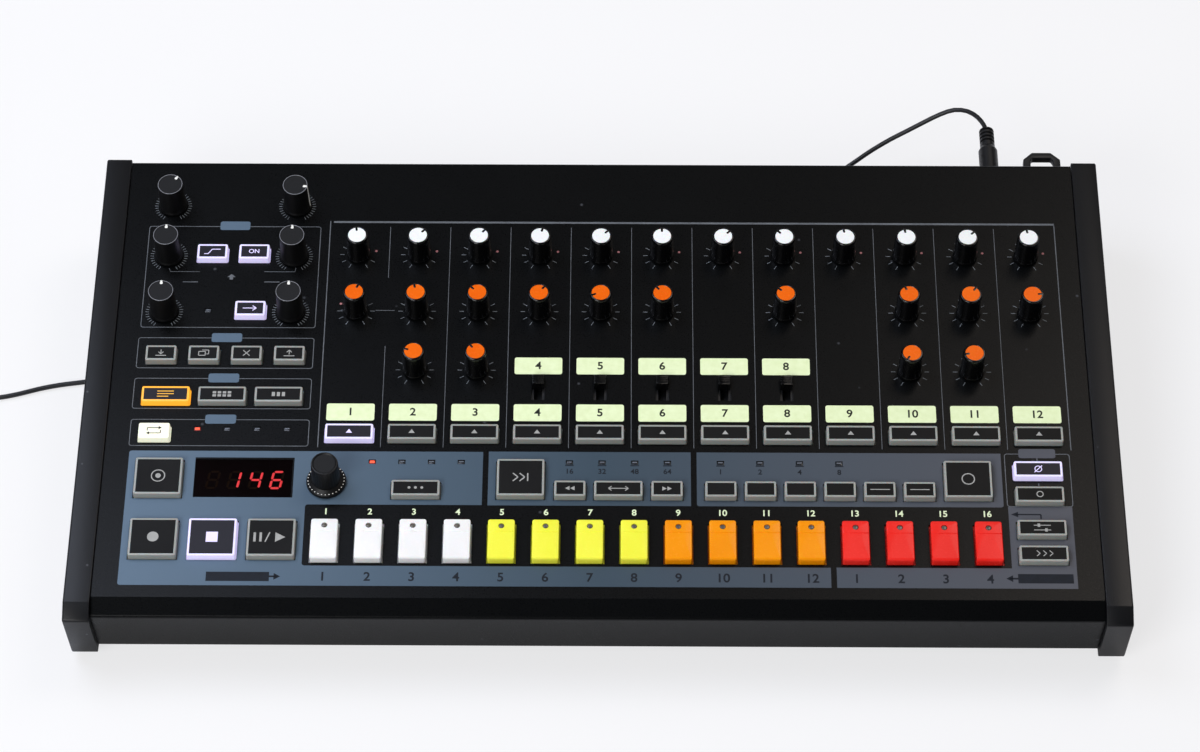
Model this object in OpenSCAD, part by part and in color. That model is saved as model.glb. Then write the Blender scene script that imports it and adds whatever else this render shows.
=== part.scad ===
// Desktop drum machine: sheet-steel case between two moulded cheeks, with knobs, step keys,
// buttons and slide switches on a sloping panel, and sockets along the rear.
// Millimetres. +X to the right, +Y to the rear, +Z up, z = 0 is the table.

/* [Case] */
// Width over both end cheeks
case_w = 496; // [490:1:540]
// Depth of the end cheeks, nose to rear
case_d = 266.2; // [262:0.1:300]
// Height of the cheeks at the rear
rear_h = 64; // [61:0.5:74]
// Height of the cheeks where their top slope ends at the front
front_h = 45; // [43:0.5:48]
// Run of the nose slope ahead of the top slope
nose_run = 8.5; // [7:0.5:10]
// Fall of the nose slope
nose_drop = 4.2; // [3:0.1:5]
// How far the lower front leans back between nose and underside
front_lean = 7.2; // [5:0.2:9]
// Thickness of an end cheek
cheek_t = 12.5; // [10:0.5:14]
// Height of the cheeks above the sheet panel
cheek_proud = 1.5; // [0.8:0.1:2.5]
// Chamfer round the outer edge of a cheek
cheek_chamfer = 0.6; // [0.5:0.1:2.5]
// Gap between the cheeks and the table
cheek_lift = 5; // [4.5:0.1:7]
// Height of the base pan above the table, filled by the feet
base_lift = 8.4; // [8:0.1:11]
// Thickness of the case sheet
sheet_t = 1.2; // [0.8:0.1:1.6]
// Distance of the panel's front bend behind the cheeks' front bend
panel_set = 3.7; // [2:0.1:6]
// Diameter of a rubber foot
foot_d = 20; // [14:1:26]

/* [Channel knobs] */
// Base diameter of a channel knob
ch_knob_d = 12; // [11:0.1:13.5]
// Top diameter of a channel knob
ch_knob_top = 10.9; // [10:0.1:11.4]
// Height of a channel knob above the panel
ch_knob_h = 16.5; // [14:0.5:20]
// Diameter of the coloured inlay
inlay_d = 9.1; // [8:0.1:9.4]

/* [Effect knobs and dial] */
// Base diameter of an effect knob
fx_knob_d = 13.6; // [13:0.1:15]
// Top diameter of an effect knob
fx_knob_top = 12.2; // [12:0.1:13]
// Height of an effect knob above the panel
fx_knob_h = 18; // [15:0.5:22]
// Skirt diameter of the data dial
dial_skirt_d = 19; // [17:0.5:21]
// Top diameter of the data dial
dial_top = 12.7; // [12:0.1:14]
// Height of the data dial above the panel
dial_h = 17; // [14:0.5:20]
// Diameter of a control shaft
shaft_d = 6; // [5:0.1:6.4]
// Gap between a knob's skirt and the panel
knob_lift = 0.8; // [0.5:0.1:1.5]

/* [Buttons and keys] */
// Width of a narrow button
narrow_w = 15.2; // [13:0.1:16]
// Width of a wide button
wide_w = 23.3; // [20:0.1:24]
// Depth of a narrow or wide button
strip_d = 9.1; // [8:0.1:9.6]
// Width of a square button
square_w = 22.9; // [20:0.1:23.5]
// Depth of a square button
square_d = 20.9; // [18:0.1:22]
// Height of a button above the panel
button_h = 3.2; // [2.5:0.1:4]
// Travel of a button
button_travel = 1.2; // [0.6:0.1:1.8]
// Width of the light rim round a button's dark plate
button_rim = 1.2; // [0.8:0.1:1.6]
// Width of a step key
key_w = 13.2; // [12:0.1:14]
// Depth of a step key
key_d = 21.7; // [20:0.1:23]
// Height of a step key above the panel
key_h = 4; // [3.2:0.1:5]
// Travel of a step key
key_travel = 1.8; // [1:0.1:2.2]
// Travel of a slide-switch cap
slide_travel = 6.8; // [5:0.1:7.5]

/* [Panel layout] */
// First channel column, from the middle of the case
ch_first = -119.2; // [-121:0.1:-118]
// Pitch of the channel columns
ch_pitch = 29.9; // [29.5:0.1:30.4]
// Level knob row, up the slope from the cheeks' front bend
level_v = 200.4; // [198:0.1:203]
// Second knob row
tune_v = 166.3; // [163:0.1:169]
// Third knob row
tone_v = 131.6; // [129:0.1:134]
// Slide-switch row
slide_v = 120.9; // [119:0.1:123]
// Select button row
select_v = 94; // [92.5:0.1:95]
// Row of the dial, the wide and narrow buttons of the control strip
strip_v = 62.3; // [61.5:0.1:63.5]
// First step key
key_first = -128.3; // [-130:0.1:-127]
// Pitch of the step keys
key_pitch = 20.74; // [20.4:0.02:21]
// Step key row
key_v = 33.6; // [32.5:0.1:34.5]

/* [Rear sockets] */
// Height of the headphone-size jacks, from the cheeks' rear top edge
jack_z = -29; // [-30:0.5:-27]
// Pitch of the headphone-size jacks
jack_pitch = 18; // [16.5:0.1:18.3]
// Bore of a headphone-size jack
jack_bore = 6.6; // [6.4:0.1:6.8]
// Height of the supply plug, from the cheeks' rear top edge
plug_z = -19; // [-20:0.5:-18]
// Place of the supply inlet across the rear
inlet_x = 196.8; // [196:0.1:200]
// Place of the cord hook across the rear
hook_x = 223.1; // [220:0.1:225]
// Reach of the cord hook behind the cheeks
hook_reach = 18.8; // [17:0.1:24]

/* [Boards] */
// Space between the panel and the board below it
board_drop = 13; // [12:0.5:14]
// Thickness of a circuit board
board_t = 1.6; // [1.2:0.1:2]

/* [Hidden] */
$fn = 32;

// Clearances
side_gap = 0.2;      // sheet parts to the cheeks, and pan to front
slot_gap = 0.35;     // caps and lenses in the panel
run_gap = 0.3;       // moving faces below the panel, shafts in bushes
fit_gap = 0.1;       // inlays and shafts inside their own knob
screw_gap = 0.15;    // screws in their holes
lens_gap = 0.25;     // window in the panel
socket_gap = 0.2;    // sockets in the rear panel
weld_gap = 0.05;     // seam between welded sheets

// Case
body_w = case_w - 2 * cheek_t;
sheet_w = body_w - 2 * side_gap;
layout_w = 471;      // width between the cheeks that the places across the case are drawn for
y_nose = -(case_d + hook_reach) / 2;
y_rear = y_nose + case_d;
y_bend = y_nose + nose_run;
slope = atan2(rear_h - front_h, case_d - nose_run);
lean = front_lean / (front_h - nose_drop - cheek_lift);
nose_set = 3.5;
rear_set = 0.7;
bend_r = 1.5;
bend_steps = 4;
rear_lip = 9;
panel_front = case_point(panel_set, 0);
y_panel_nose = y_nose + nose_set;
z_panel_nose = panel_front[1] - (panel_front[0] - y_panel_nose) * nose_drop / nose_run;
y_lip = y_rear - rear_set;
y_plate = y_lip - sheet_t;
y_inside = y_plate - sheet_t;
z_lip = panel_z(y_lip);
pan_lip = 12;
foot_x = case_w / 2 - 43;
foot_inset = 42;

// Boards and what stands on them, in panel heights below zero
under = -sheet_t;
board_top = under - board_drop;
board_v = [8, slope_v(y_inside - 18)];
board_side = 4.3;
stud_d = 6;
stud_u = [-(sheet_w / 2 - 7.6), across(-104.25), across(45.25), sheet_w / 2 - 7.6];
stud_v = [12, 150, 216];
z_jack = rear_h + jack_z;
z_plug = rear_h + plug_z;
main_z = z_jack - 7.5;
main_y = [y_inside - 62, y_inside - sheet_t - 1];
main_side = 8;
post_x = [across(-218), across(-72), across(74), across(218)];
post_inset = [5, 31];
screw_d = 3;
head_d = 5.6;
head_t = 1.6;
bite = 5;

// Knob pointers at rest, degrees clockwise from the rear
level_turn = [-6, 44, 40, 16, 49, -2, 47, -44, -10, -10, 47, -11];
tune_turn = [[0, 26], [1, -11], [2, -46], [3, 38], [4, -110], [5, -40], [7, -51], [9, -26],
             [10, 35], [11, 90]];
tone_turn = [[1, -75], [2, -37], [9, -150], [10, -100]];
fx_turn = [[0, 0, 36], [1, 0, 100], [0, 1, 0], [1, 1, 0], [0, 2, 0], [1, 2, 0]];
fx_u = [across(-212.8), across(-151)];
fx_v = [229.8, 199, 165.3];
dial_at = [across(-128.8), 66.8];
inlay_t = 1;
ch_shoulder = [0.65, 1.3];
fx_shoulder = [0.3, 0.4];
pot_size = [10, 11, 7];
bush_d = 9;

// Buttons: where each one stands on the panel
edit_pitch = 20.7;
mode_pitch = 27.15;
play_pitch = 27.65;
bar_pitch = 18.76;
edit_v = 139;
mode_v = 115.1;
play_v = 34.5;
square_v = 68.4;
narrow_at = spread(concat(
    [[-191.2, level_v - 0.6], [-170.6, level_v - 0.6], [-170.6, tune_v - 0.7]],
    [for (i = [0:3]) [-212.2 + i * edit_pitch, edit_v]],
    [[-212.3, select_v]],
    [[-13.5, strip_v], [32.4, strip_v]],
    [for (i = [0:5]) [57.8 + i * bar_pitch, strip_v]]));
wide_at = spread(concat(
    [for (i = [0:2]) [-208.3 + i * mode_pitch, mode_v]],
    [[-86.4, strip_v], [9.4, strip_v], [208.1, 74.2], [208.1, 60.1], [208.1, 41.5], [208.1, 27.4]]));
select_at = [for (i = [0:11]) [ch_u(i), select_v]];
square_at = spread(concat(
    [[-208.4, square_v]],
    [for (i = [0:2]) [-208.4 + i * play_pitch, play_v]],
    [[-36.9, square_v], [174.7, square_v]]));
key_at = spread([for (i = [0:15]) [key_first + i * key_pitch, key_v]]);
slide_at = [for (i = [3:7]) [ch_u(i), slide_v]];
cap_r = 0.9;
flange_w = 0.8;
flange_t = 1;
plate_t = 0.8;
plunger_w = 4;
plunger_gap = 0.6;
key_wall = 1.4;
key_hole_d = 2.7;
key_light = [0, 7.6];
key_rise_r = 1.4;
key_groove = [4, 0.6, 0.35];
slide_cap = [5.6, 5.4, 3.6];
slide_stem = [3.4, 3.4, 4];
slide_body = [9, 15];

// Display and lights
window = [46.3, 21.4];
window_at = [across(-168.5), 69.1];
window_t = 1;
window_rim = [0.6, 2];
light = [3, 2];
light_v = 78.7;
light_at = spread(concat(
    [for (i = [0:3]) [-107.6 + i * 14.1, light_v]],
    [for (i = [0:3]) [-13.9 + i * 15.5, light_v]],
    [for (i = [0:3]) [57.8 + i * bar_pitch, light_v]],
    [for (i = [0:3]) [-192 + i * 14.3, select_v + 3.1]],
    [[-191.4, tune_v]]));

// Rear sockets
jack_count = 15;
jack_first = -224;
jack_body = [14, 26, 15];
jack_bush = [9, 3.2];
jack_nut = [13, 2];
jack_depth = 24;
mini_at = [for (i = [0:4]) across(44 + i * 10)];
mini_body = [8, 12, 10];
mini_bush = [6, 2.2];
mini_bore = 3.6;
usb_x = across(99);
usb_size = [12, 16, 11];
din_at = [across(118), across(138), across(158)];
din_body = [17, 12, 18];
din_boss = 15.6;
din_groove = [12, 14.6, 7];
inlet_body = [9, 14];
inlet_boss = 8;
inlet_bore = 5.9;
rocker_x = across(178.5);
rocker_z = z_jack + 3;
rocker_frame = [19, 13, 14];
rocker_rim = [20.5, 15, 1.2];
rocker_well = [15.6, 9.6, 6];
rocker_half = 7.2;
rocker_tilt = 8;
rocker_pin = 2;
x_hook = across(hook_x);
hook_z = z_plug + 3;
hook_w = 18.7;
hook_bar = 3.6;
hook_t = 4;
hook_cut = 4.6;
hook_base = [hook_w, 2, 10];

// Supply lead: plug, free stretch, coil and wall adapter
cord_d = 2.4;
cord_sides = 8;
cord_step = 7.5;
cord_z = cord_d / 2 + 0.1;
plug_body = [9.6, 27.2];
plug_shoulder = 2.4;
plug_ribs = [7.5, 12.5];
plug_plain = 3;
rib_count = 4;
plug_barrel = [5.5, 9.5, 2.6];
coil_at = [-350, y_rear - 85.7];
coil_turn = [14.4, 19.4];
coil_pitch = 2.5;
coil_layers = 4;
coil_top = cord_z + (coil_layers - 1) * coil_pitch;
adapter_size = [48, 62, 30];
adapter_y = coil_at[1] + 35;
adapter_blade = [17, 6.3, 1.5];
adapter_pitch = 12.7;
x_inlet = across(inlet_x);
route_start = y_plate + 0.6 + plug_body[1] + plug_ribs[1];
route = [
    [x_inlet, route_start, z_plug], [x_inlet - 1, y_rear + 42, z_plug],
    [x_inlet - 3.8, y_rear + 47.8, z_plug - 0.5], [x_inlet - 8.5, y_rear + 53.3, z_plug - 2],
    [x_inlet - 15, y_rear + 56.5, z_plug - 4.5], [x_inlet - 22, y_rear + 56.8, z_plug - 8.2],
    [x_inlet - 30, y_rear + 55.5, z_plug - 12.7], [x_inlet - 38.5, y_rear + 53.5, z_plug - 17.2],
    [x_inlet - 47, y_rear + 52, 22.8], [x_inlet - 57, y_rear + 49.5, 16.5],
    [x_inlet - 67, y_rear + 45.5, 10.5], [x_inlet - 78, y_rear + 40.3, 5.3],
    [106, y_rear + 33, cord_z], [88, y_rear + 22.8, cord_z],
    [60, y_rear + 8.3, cord_z], [20, y_rear - 9.7, cord_z], [-30, y_rear - 26.7, cord_z],
    [-90, y_rear - 44.7, cord_z], [-150, y_rear - 62.7, cord_z], [-205, y_rear - 80.7, cord_z],
    [-240, y_rear - 90.7, cord_z], [-258, y_rear - 93.7, cord_z], [-270, y_rear - 95.7, cord_z],
    [-280, y_rear - 98.2, cord_z], [-289, y_rear - 101.2, cord_z], [-299, y_rear - 103.7, cord_z],
    [-312, coil_at[1] - coil_turn[1], cord_z], [-327, coil_at[1] - coil_turn[1], cord_z],
    [-342, coil_at[1] - coil_turn[1], cord_z]];
tail = [for (t = [8, 15, 22]) [coil_at[0] - coil_turn[1], coil_at[1] + t, coil_top]];

// ---- helpers ----

// Place across the case that keeps its share of the width between the cheeks
function across(u) = u * body_w / layout_w;

// The same for a list of places on the panel
function spread(places) = [for (t = places) [across(t[0]), t[1]]];

// Column of channel i, counted from 0
function ch_u(i) = across(ch_first + i * ch_pitch);

// Place of headphone-size jack i along the rear
function jack_x(i) = across(jack_first + i * jack_pitch);

// Point of the case section, [y, z], at distance v up the slope and height h over the panel
function case_point(v, h) =
    [y_bend + v * cos(slope) - (h - cheek_proud) * sin(slope),
     front_h + v * sin(slope) + (h - cheek_proud) * cos(slope)];

// Height of the panel's top face at y
function panel_z(y) = front_h + (y - y_bend) * tan(slope) - cheek_proud / cos(slope);

// Distance up the slope at which the panel reaches y
function slope_v(y) = (y - y_bend) / cos(slope);

// Front face of the sheet body at height z
function front_y(z) = y_panel_nose + (z_panel_nose - z) * lean;

function unit(v) = v / norm(v);
function left_normal(a, b) = let (d = unit(b - a)) [-d[1], d[0]];

// One corner of an outline as an arc of radius r
function corner(a, b, c, r) =
    let (p = unit(a - b), q = unit(c - b), half = acos(p * q) / 2,
         m = b + unit(p + q) * r / sin(half),
         s = b + p * r / tan(half) - m, e = b + q * r / tan(half) - m,
         a0 = atan2(s[1], s[0]), turn = (atan2(e[1], e[0]) - a0 + 540) % 360 - 180)
    [for (i = [0:bend_steps]) m + r * [cos(a0 + turn * i / bend_steps), sin(a0 + turn * i / bend_steps)]];

// An open line with its inner corners rounded
function bent(line, r) =
    let (n = len(line))
    concat([line[0]],
           [for (i = [1:n - 2]) each corner(line[i - 1], line[i], line[i + 1], r)],
           [line[n - 1]]);

// A closed outline with every corner rounded
function rounded(line, r) =
    let (n = len(line))
    [for (i = [0:n - 1]) each corner(line[(i + n - 1) % n], line[i], line[(i + 1) % n], r)];

// Point i of a line, moved t to the left of the line
function shifted(line, i, t) =
    let (n = len(line), a = left_normal(line[max(i - 1, 0)], line[max(i, 1)]),
         b = left_normal(line[min(i, n - 2)], line[min(i + 1, n - 1)]))
    line[i] + (a + b) * t / (1 + a * b);

// Closed section of sheet t thick to the left of an open line
function sheet_section(line, t) =
    concat(line, [for (i = [len(line) - 1:-1:0]) shifted(line, i, t)]);

// A closed outline moved t inwards, for a line that runs anticlockwise
function inset(line, t) =
    let (n = len(line))
    [for (i = [0:n - 1])
        let (a = left_normal(line[(i + n - 1) % n], line[i]), b = left_normal(line[i], line[(i + 1) % n]))
        line[i] + (a + b) * t / (1 + a * b)];

// Rectangle with rounded corners, as points
function soft_rect(w, d, r) =
    [for (c = [[1, 1, 0], [-1, 1, 90], [-1, -1, 180], [1, -1, 270]], i = [0:3])
        [c[0] * (w / 2 - r) + r * cos(c[2] + 30 * i), c[1] * (d / 2 - r) + r * sin(c[2] + 30 * i)]];

// Moves a child from panel coordinates [u, v, height] to the case
module on_panel() {
    translate([0, y_bend, front_h])
        rotate([slope, 0, 0])
            translate([0, 0, -cheek_proud])
                children();
}

// Extrudes a [y, z] section along X between two places
module along_x(x0, x1) {
    translate([x0, 0, 0])
        rotate([90, 0, 90])
            linear_extrude(x1 - x0)
                children();
}

module prism(w, d, r, z0, z1) {
    translate([0, 0, z0])
        linear_extrude(z1 - z0)
            polygon(soft_rect(w, d, r));
}

module block(x, y, z0, z1) {
    translate([-x / 2, -y / 2, z0])
        cube([x, y, z1 - z0]);
}

// Cylinder or block that points out of the rear panel, from y0 to y1
module rear_rod(x, z, d, y0, y1) {
    translate([x, y0, z])
        rotate([-90, 0, 0])
            cylinder(d = d, h = y1 - y0);
}

module rear_block(x, w, y0, y1, z0, z1) {
    translate([x - w / 2, y0, z0])
        cube([w, y1 - y0, z1 - z0]);
}

// ---- case ----

module cheek_outline() {
    polygon(rounded(cheek_line(), bend_r));
}

function cheek_line() =
    [[y_nose + front_lean, cheek_lift], [y_rear, cheek_lift], [y_rear, rear_h],
     [y_bend, front_h], [y_nose, front_h - nose_drop]];

cheek_screw_y = [y_nose + 40, (y_nose + y_rear) / 2, y_rear - 34];
cheek_screw_z = base_lift + 7;

module cheek(side) {
    inner = side * body_w / 2;
    outer = side * case_w / 2;
    color("#202226")
        difference() {
            hull() {
                along_x(min(inner, outer - side * cheek_chamfer), max(inner, outer - side * cheek_chamfer))
                    cheek_outline();
                along_x(min(inner, outer), max(inner, outer))
                    polygon(inset(rounded(cheek_line(), bend_r), cheek_chamfer));
            }
            for (y = cheek_screw_y)
                translate([inner - side, y, cheek_screw_z])
                    rotate([0, side * 90, 0])
                        cylinder(d = screw_d + 2 * screw_gap, h = bite + 2);
        }
}

module left_cheek() {
    cheek(-1);
}

module right_cheek() {
    cheek(1);
}

module panel_cuts() {
    for (t = narrow_at)
        translate(t) polygon(soft_rect(narrow_w + 2 * slot_gap, strip_d + 2 * slot_gap, cap_r));
    for (t = concat(wide_at, select_at))
        translate(t) polygon(soft_rect(wide_w + 2 * slot_gap, strip_d + 2 * slot_gap, cap_r));
    for (t = square_at)
        translate(t) polygon(soft_rect(square_w + 2 * slot_gap, square_d + 2 * slot_gap, cap_r));
    for (t = key_at)
        translate(t) square([key_w + 2 * slot_gap, key_d + 2 * slot_gap], center = true);
    for (t = slide_at)
        translate(t) square([slide_cap[0] + 2 * slot_gap, slide_cap[1] + slide_travel + 2 * slot_gap],
                            center = true);
    for (t = light_at)
        translate(t) square([light[0] + 2 * lens_gap, light[1] + 2 * lens_gap], center = true);
    translate(window_at) square([window[0], window[1]], center = true);
    for (t = concat(knob_places(), [dial_at]))
        translate(t) circle(d = shaft_d + 1.6);
}

function knob_places() = concat(
    [for (i = [0:11]) [ch_u(i), level_v]],
    [for (t = tune_turn) [ch_u(t[0]), tune_v]],
    [for (t = tone_turn) [ch_u(t[0]), tone_v]],
    [for (t = fx_turn) [fx_u[t[0]], fx_v[t[1]]]]);

// The folded panel: rear lip, sloping top, nose and leaning front in one sheet
module top_panel() {
    fold = bent([[y_lip, z_lip - rear_lip], [y_lip, z_lip], panel_front,
                 [y_panel_nose, z_panel_nose], [front_y(base_lift), base_lift]], bend_r);
    color("#1b1d21")
        difference() {
            along_x(-sheet_w / 2, sheet_w / 2)
                polygon(sheet_section(fold, sheet_t));
            on_panel()
                translate([0, 0, under - 1])
                    linear_extrude(sheet_t + 2)
                        panel_cuts();
            for (x = lip_screw_x)
                rear_rod(x, lip_screw_z, screw_d + 2 * screw_gap, y_plate - 1, y_lip + 1);
        }
}

lip_screw_x = [across(-228), across(-76), across(76), across(205)];
lip_screw_z = z_lip - rear_lip / 2 - 1.3;
pan_screw_x = [across(-228), across(-76), across(76), across(228)];
pan_screw_z = base_lift + 7;

// Floor sheet with four flanges welded along its edges
module base_pan() {
    z_floor = base_lift + sheet_t;
    z0 = z_floor + weld_gap;
    z1 = base_lift + pan_lip;
    in_y = function(z) front_y(z) + (sheet_t + side_gap) / cos(atan(lean));
    lean_t = sheet_t / cos(atan(lean));
    y1 = y_inside - sheet_t;
    half = sheet_w / 2;
    color("#26282c") {
        along_x(-half, half)
            polygon([[in_y(base_lift), base_lift], [y_inside, base_lift],
                     [y_inside, z_floor], [in_y(z_floor), z_floor]]);
        along_x(-half, half)
            polygon([[in_y(z0), z0], [in_y(z0) + lean_t, z0], [in_y(z1) + lean_t, z1], [in_y(z1), z1]]);
        difference() {
            along_x(-half, half)
                polygon([[y1, z0], [y_inside, z0], [y_inside, z1], [y1, z1]]);
            for (x = pan_screw_x)
                rear_rod(x, pan_screw_z, screw_d + 2 * screw_gap, y1 - 1, y_inside + 1);
        }
        for (s = [-1, 1])
            difference() {
                along_x(s > 0 ? half - sheet_t : -half, s > 0 ? half : sheet_t - half)
                    polygon([[in_y(z0) + lean_t + weld_gap, z0], [y1 - weld_gap, z0],
                             [y1 - weld_gap, z1], [in_y(z1) + lean_t + weld_gap, z1]]);
                for (y = cheek_screw_y)
                    translate([s * (half - sheet_t) - s, y, cheek_screw_z])
                        rotate([0, s * 90, 0])
                            cylinder(d = screw_d + 2 * screw_gap, h = sheet_t + 2);
            }
    }
}

module rear_panel() {
    hole = 2 * socket_gap;
    color("#1b1d21")
        difference() {
            translate([-sheet_w / 2, y_inside, base_lift])
                cube([sheet_w, sheet_t, z_lip - bend_r - sheet_t - base_lift]);
            for (i = [0:jack_count - 1])
                rear_rod(jack_x(i), z_jack, jack_bush[0] + hole, y_inside - 1, y_plate + 1);
            for (x = mini_at)
                rear_rod(x, z_jack, mini_bush[0] + hole, y_inside - 1, y_plate + 1);
            for (x = din_at)
                rear_rod(x, main_z + din_body[2] / 2, din_boss + hole, y_inside - 1, y_plate + 1);
            rear_rod(x_inlet, z_plug, inlet_boss + hole, y_inside - 1, y_plate + 1);
            rear_block(usb_x, usb_size[0] + hole, y_inside - 1, y_plate + 1,
                       main_z - hole / 2, main_z + usb_size[2] + hole / 2);
            rear_block(rocker_x, rocker_frame[0] + hole, y_inside - 1, y_plate + 1,
                       rocker_z - (rocker_frame[1] + hole) / 2, rocker_z + (rocker_frame[1] + hole) / 2);
            for (x = pan_screw_x)
                rear_rod(x, pan_screw_z, screw_d + 2 * screw_gap, y_inside - 1, y_plate + 1);
            for (x = lip_screw_x)
                rear_rod(x, lip_screw_z, screw_d + 2 * screw_gap, y_inside - 1, y_plate + 1);
        }
}

module rubber_feet() {
    color("#141414")
        for (x = [-foot_x, foot_x], y = [y_nose + foot_inset, y_rear - foot_inset])
            translate([x, y, 0])
                rotate_extrude()
                    polygon([[0, 0], [foot_d / 2 - 2, 0], [foot_d / 2 - 1, 1],
                             [foot_d / 2, base_lift], [0, base_lift]]);
}

// Pan-head screw: the head's seat is at z = 0, the shank points down
module screw(length) {
    cylinder(d = head_d, h = head_t);
    translate([0, 0, -length])
        cylinder(d = screw_d, h = length + 0.5);
}

module case_screws() {
    color("#303236") {
        for (x = pan_screw_x)
            translate([x, y_plate, pan_screw_z]) rotate([-90, 0, 0]) screw(2 * sheet_t + 2);
        for (x = lip_screw_x)
            translate([x, y_lip, lip_screw_z]) rotate([-90, 0, 0]) screw(2 * sheet_t + 2);
        for (s = [-1, 1], y = cheek_screw_y)
            translate([s * (sheet_w / 2 - sheet_t), y, cheek_screw_z])
                rotate([0, -s * 90, 0])
                    screw(sheet_t + side_gap + bite - 0.5);
        for (x = post_x, d = post_inset)
            translate([x, main_y[0] + d, main_z])
                screw(board_t + bite - 0.5);
        on_panel()
            for (u = stud_u, v = stud_v)
                translate([u, v, board_top - board_t])
                    rotate([180, 0, 0])
                        screw(board_t + bite - 0.5);
    }
    color("#8a8c90") {
        for (x = post_x, d = post_inset)
            translate([x, main_y[0] + d, base_lift + sheet_t])
                standoff(main_z - board_t - base_lift - sheet_t);
        on_panel()
            for (u = stud_u, v = stud_v)
                translate([u, v, under])
                    rotate([180, 0, 0])
                        standoff(board_drop);
    }
}

// Post that stands on a sheet, with the board's screw in its far end
module standoff(length) {
    difference() {
        cylinder(d = stud_d, h = length);
        translate([0, 0, length - bite])
            cylinder(d = screw_d + 2 * screw_gap, h = bite + 1);
    }
}

// ---- boards ----

module main_board() {
    color("#1d5a34")
        difference() {
            union() {
                translate([-sheet_w / 2 + main_side, main_y[0], main_z - board_t])
                    cube([sheet_w - 2 * main_side, main_y[1] - main_y[0], board_t]);
                // Processor, voice chips and supply capacitors
                translate([-16, main_y[0] + 12, main_z]) cube([14, 14, 1.4]);
                for (i = [0:7])
                    translate([across(-200 + i * 22), main_y[0] + 10, main_z]) cube([9, 6, 1.6]);
                for (x = [across(150), across(164), across(178)])
                    translate([x, main_y[0] + 16, main_z]) cylinder(d = 8, h = 9);
            }
            for (x = post_x, d = post_inset)
                translate([x, main_y[0] + d, main_z - board_t - 1])
                    cylinder(d = screw_d + 2 * screw_gap, h = board_t + 2);
        }
    // Pin header that links the two boards
    color("#101010")
        for (y = [main_y[0] + 4])
            translate([20, y, main_z])
                cube([30, 2.5, link_top(y + 2.5) - main_z]);
}

// Underside of the panel board above y, with a small gap for the slope
function link_top(y) = panel_z(y - 3) + (board_top - board_t) / cos(slope) - 0.3;

module panel_board() {
    color("#1d5a34")
        on_panel()
            difference() {
                translate([-sheet_w / 2 + board_side, board_v[0], board_top - board_t])
                    cube([sheet_w - 2 * board_side, board_v[1] - board_v[0], board_t]);
                for (u = stud_u, v = stud_v)
                    translate([u, v, board_top - board_t - 1])
                        cylinder(d = screw_d + 2 * screw_gap, h = board_t + 2);
            }
}

// Potentiometer or encoder body with the bush that its shaft runs in
module pot_bodies() {
    color("#5b6168")
        on_panel()
            for (t = concat(knob_places(), [dial_at]))
                translate([t[0], t[1], 0])
                    difference() {
                        union() {
                            block(pot_size[0], pot_size[1], board_top, board_top + pot_size[2]);
                            translate([0, 0, board_top])
                                cylinder(d = bush_d, h = board_drop - 0.5);
                        }
                        translate([0, 0, board_top + 1])
                            cylinder(d = shaft_d + 2 * run_gap, h = board_drop);
                    }
}

module slide_body() {
    difference() {
        block(slide_body[0], slide_body[1], board_top, under - 0.5);
        block(slide_stem[0] + 2 * run_gap, slide_stem[1] + slide_travel + 2 * run_gap,
              under - slide_stem[2] - 1, under);
    }
}

module switch_bodies() {
    color("#2a2c30") {
        on_panel()
            for (t = slide_at)
                translate([t[0], t[1], 0])
                    slide_body();
        difference() {
            union() {
                rear_block(rocker_x, rocker_frame[0], y_plate - rocker_frame[2], y_plate,
                           rocker_z - rocker_frame[1] / 2, rocker_z + rocker_frame[1] / 2);
                rear_block(rocker_x, rocker_rim[0], y_plate, y_plate + rocker_rim[2],
                           rocker_z - rocker_rim[1] / 2, rocker_z + rocker_rim[1] / 2);
            }
            rear_block(rocker_x, rocker_well[0], y_plate + rocker_rim[2] - rocker_well[2],
                       y_plate + rocker_rim[2] + 1,
                       rocker_z - rocker_well[1] / 2, rocker_z + rocker_well[1] / 2);
            translate([rocker_x, y_plate, rocker_z - rocker_well[1] / 2 - 1])
                cylinder(d = rocker_pin + 2 * run_gap, h = rocker_well[1] + 2);
        }
    }
}

module display_window() {
    color("#180606")
        on_panel()
            translate([window_at[0], window_at[1], 0]) {
                block(window[0] - 2 * lens_gap, window[1] - 2 * lens_gap, under, -0.1);
                block(window[0] + 2 * window_rim[0], window[1] + 2 * window_rim[1],
                      under - window_t, under);
            }
}

module display_module() {
    color("#101010")
        on_panel()
            translate([window_at[0], window_at[1], 0])
                block(window[0] - 3, window[1] - 3, board_top, under - window_t - run_gap);
}

module indicator_lights() {
    color("#b04030")
        on_panel() {
            for (t = light_at)
                translate([t[0], t[1], 0])
                    block(light[0], light[1], board_top, -0.1);
            for (t = key_at)
                translate([t[0] + key_light[0], t[1] + key_light[1], board_top])
                    cylinder(d = key_hole_d - 2 * run_gap,
                             h = key_h - key_travel - 0.4 - board_top);
        }
}

// ---- rear sockets ----

module phone_jack(x) {
    difference() {
        union() {
            rear_block(x, jack_body[0], y_inside - jack_body[1], y_inside, main_z, main_z + jack_body[2]);
            rear_rod(x, z_jack, jack_bush[0], y_inside - 1, y_plate + jack_bush[1]);
        }
        rear_rod(x, z_jack, jack_bore, y_plate + jack_bush[1] - jack_depth, y_plate + jack_bush[1] + 1);
    }
    difference() {
        translate([x, y_plate, z_jack])
            rotate([-90, 0, 0])
                cylinder(d = jack_nut[0], h = jack_nut[1], $fn = 6);
        rear_rod(x, z_jack, jack_bush[0] + 2 * screw_gap, y_plate - 1, y_plate + jack_nut[1] + 1);
    }
}

module phone_jacks() {
    color("#3a3c40")
        for (i = [0:jack_count - 1])
            phone_jack(jack_x(i));
}

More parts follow.
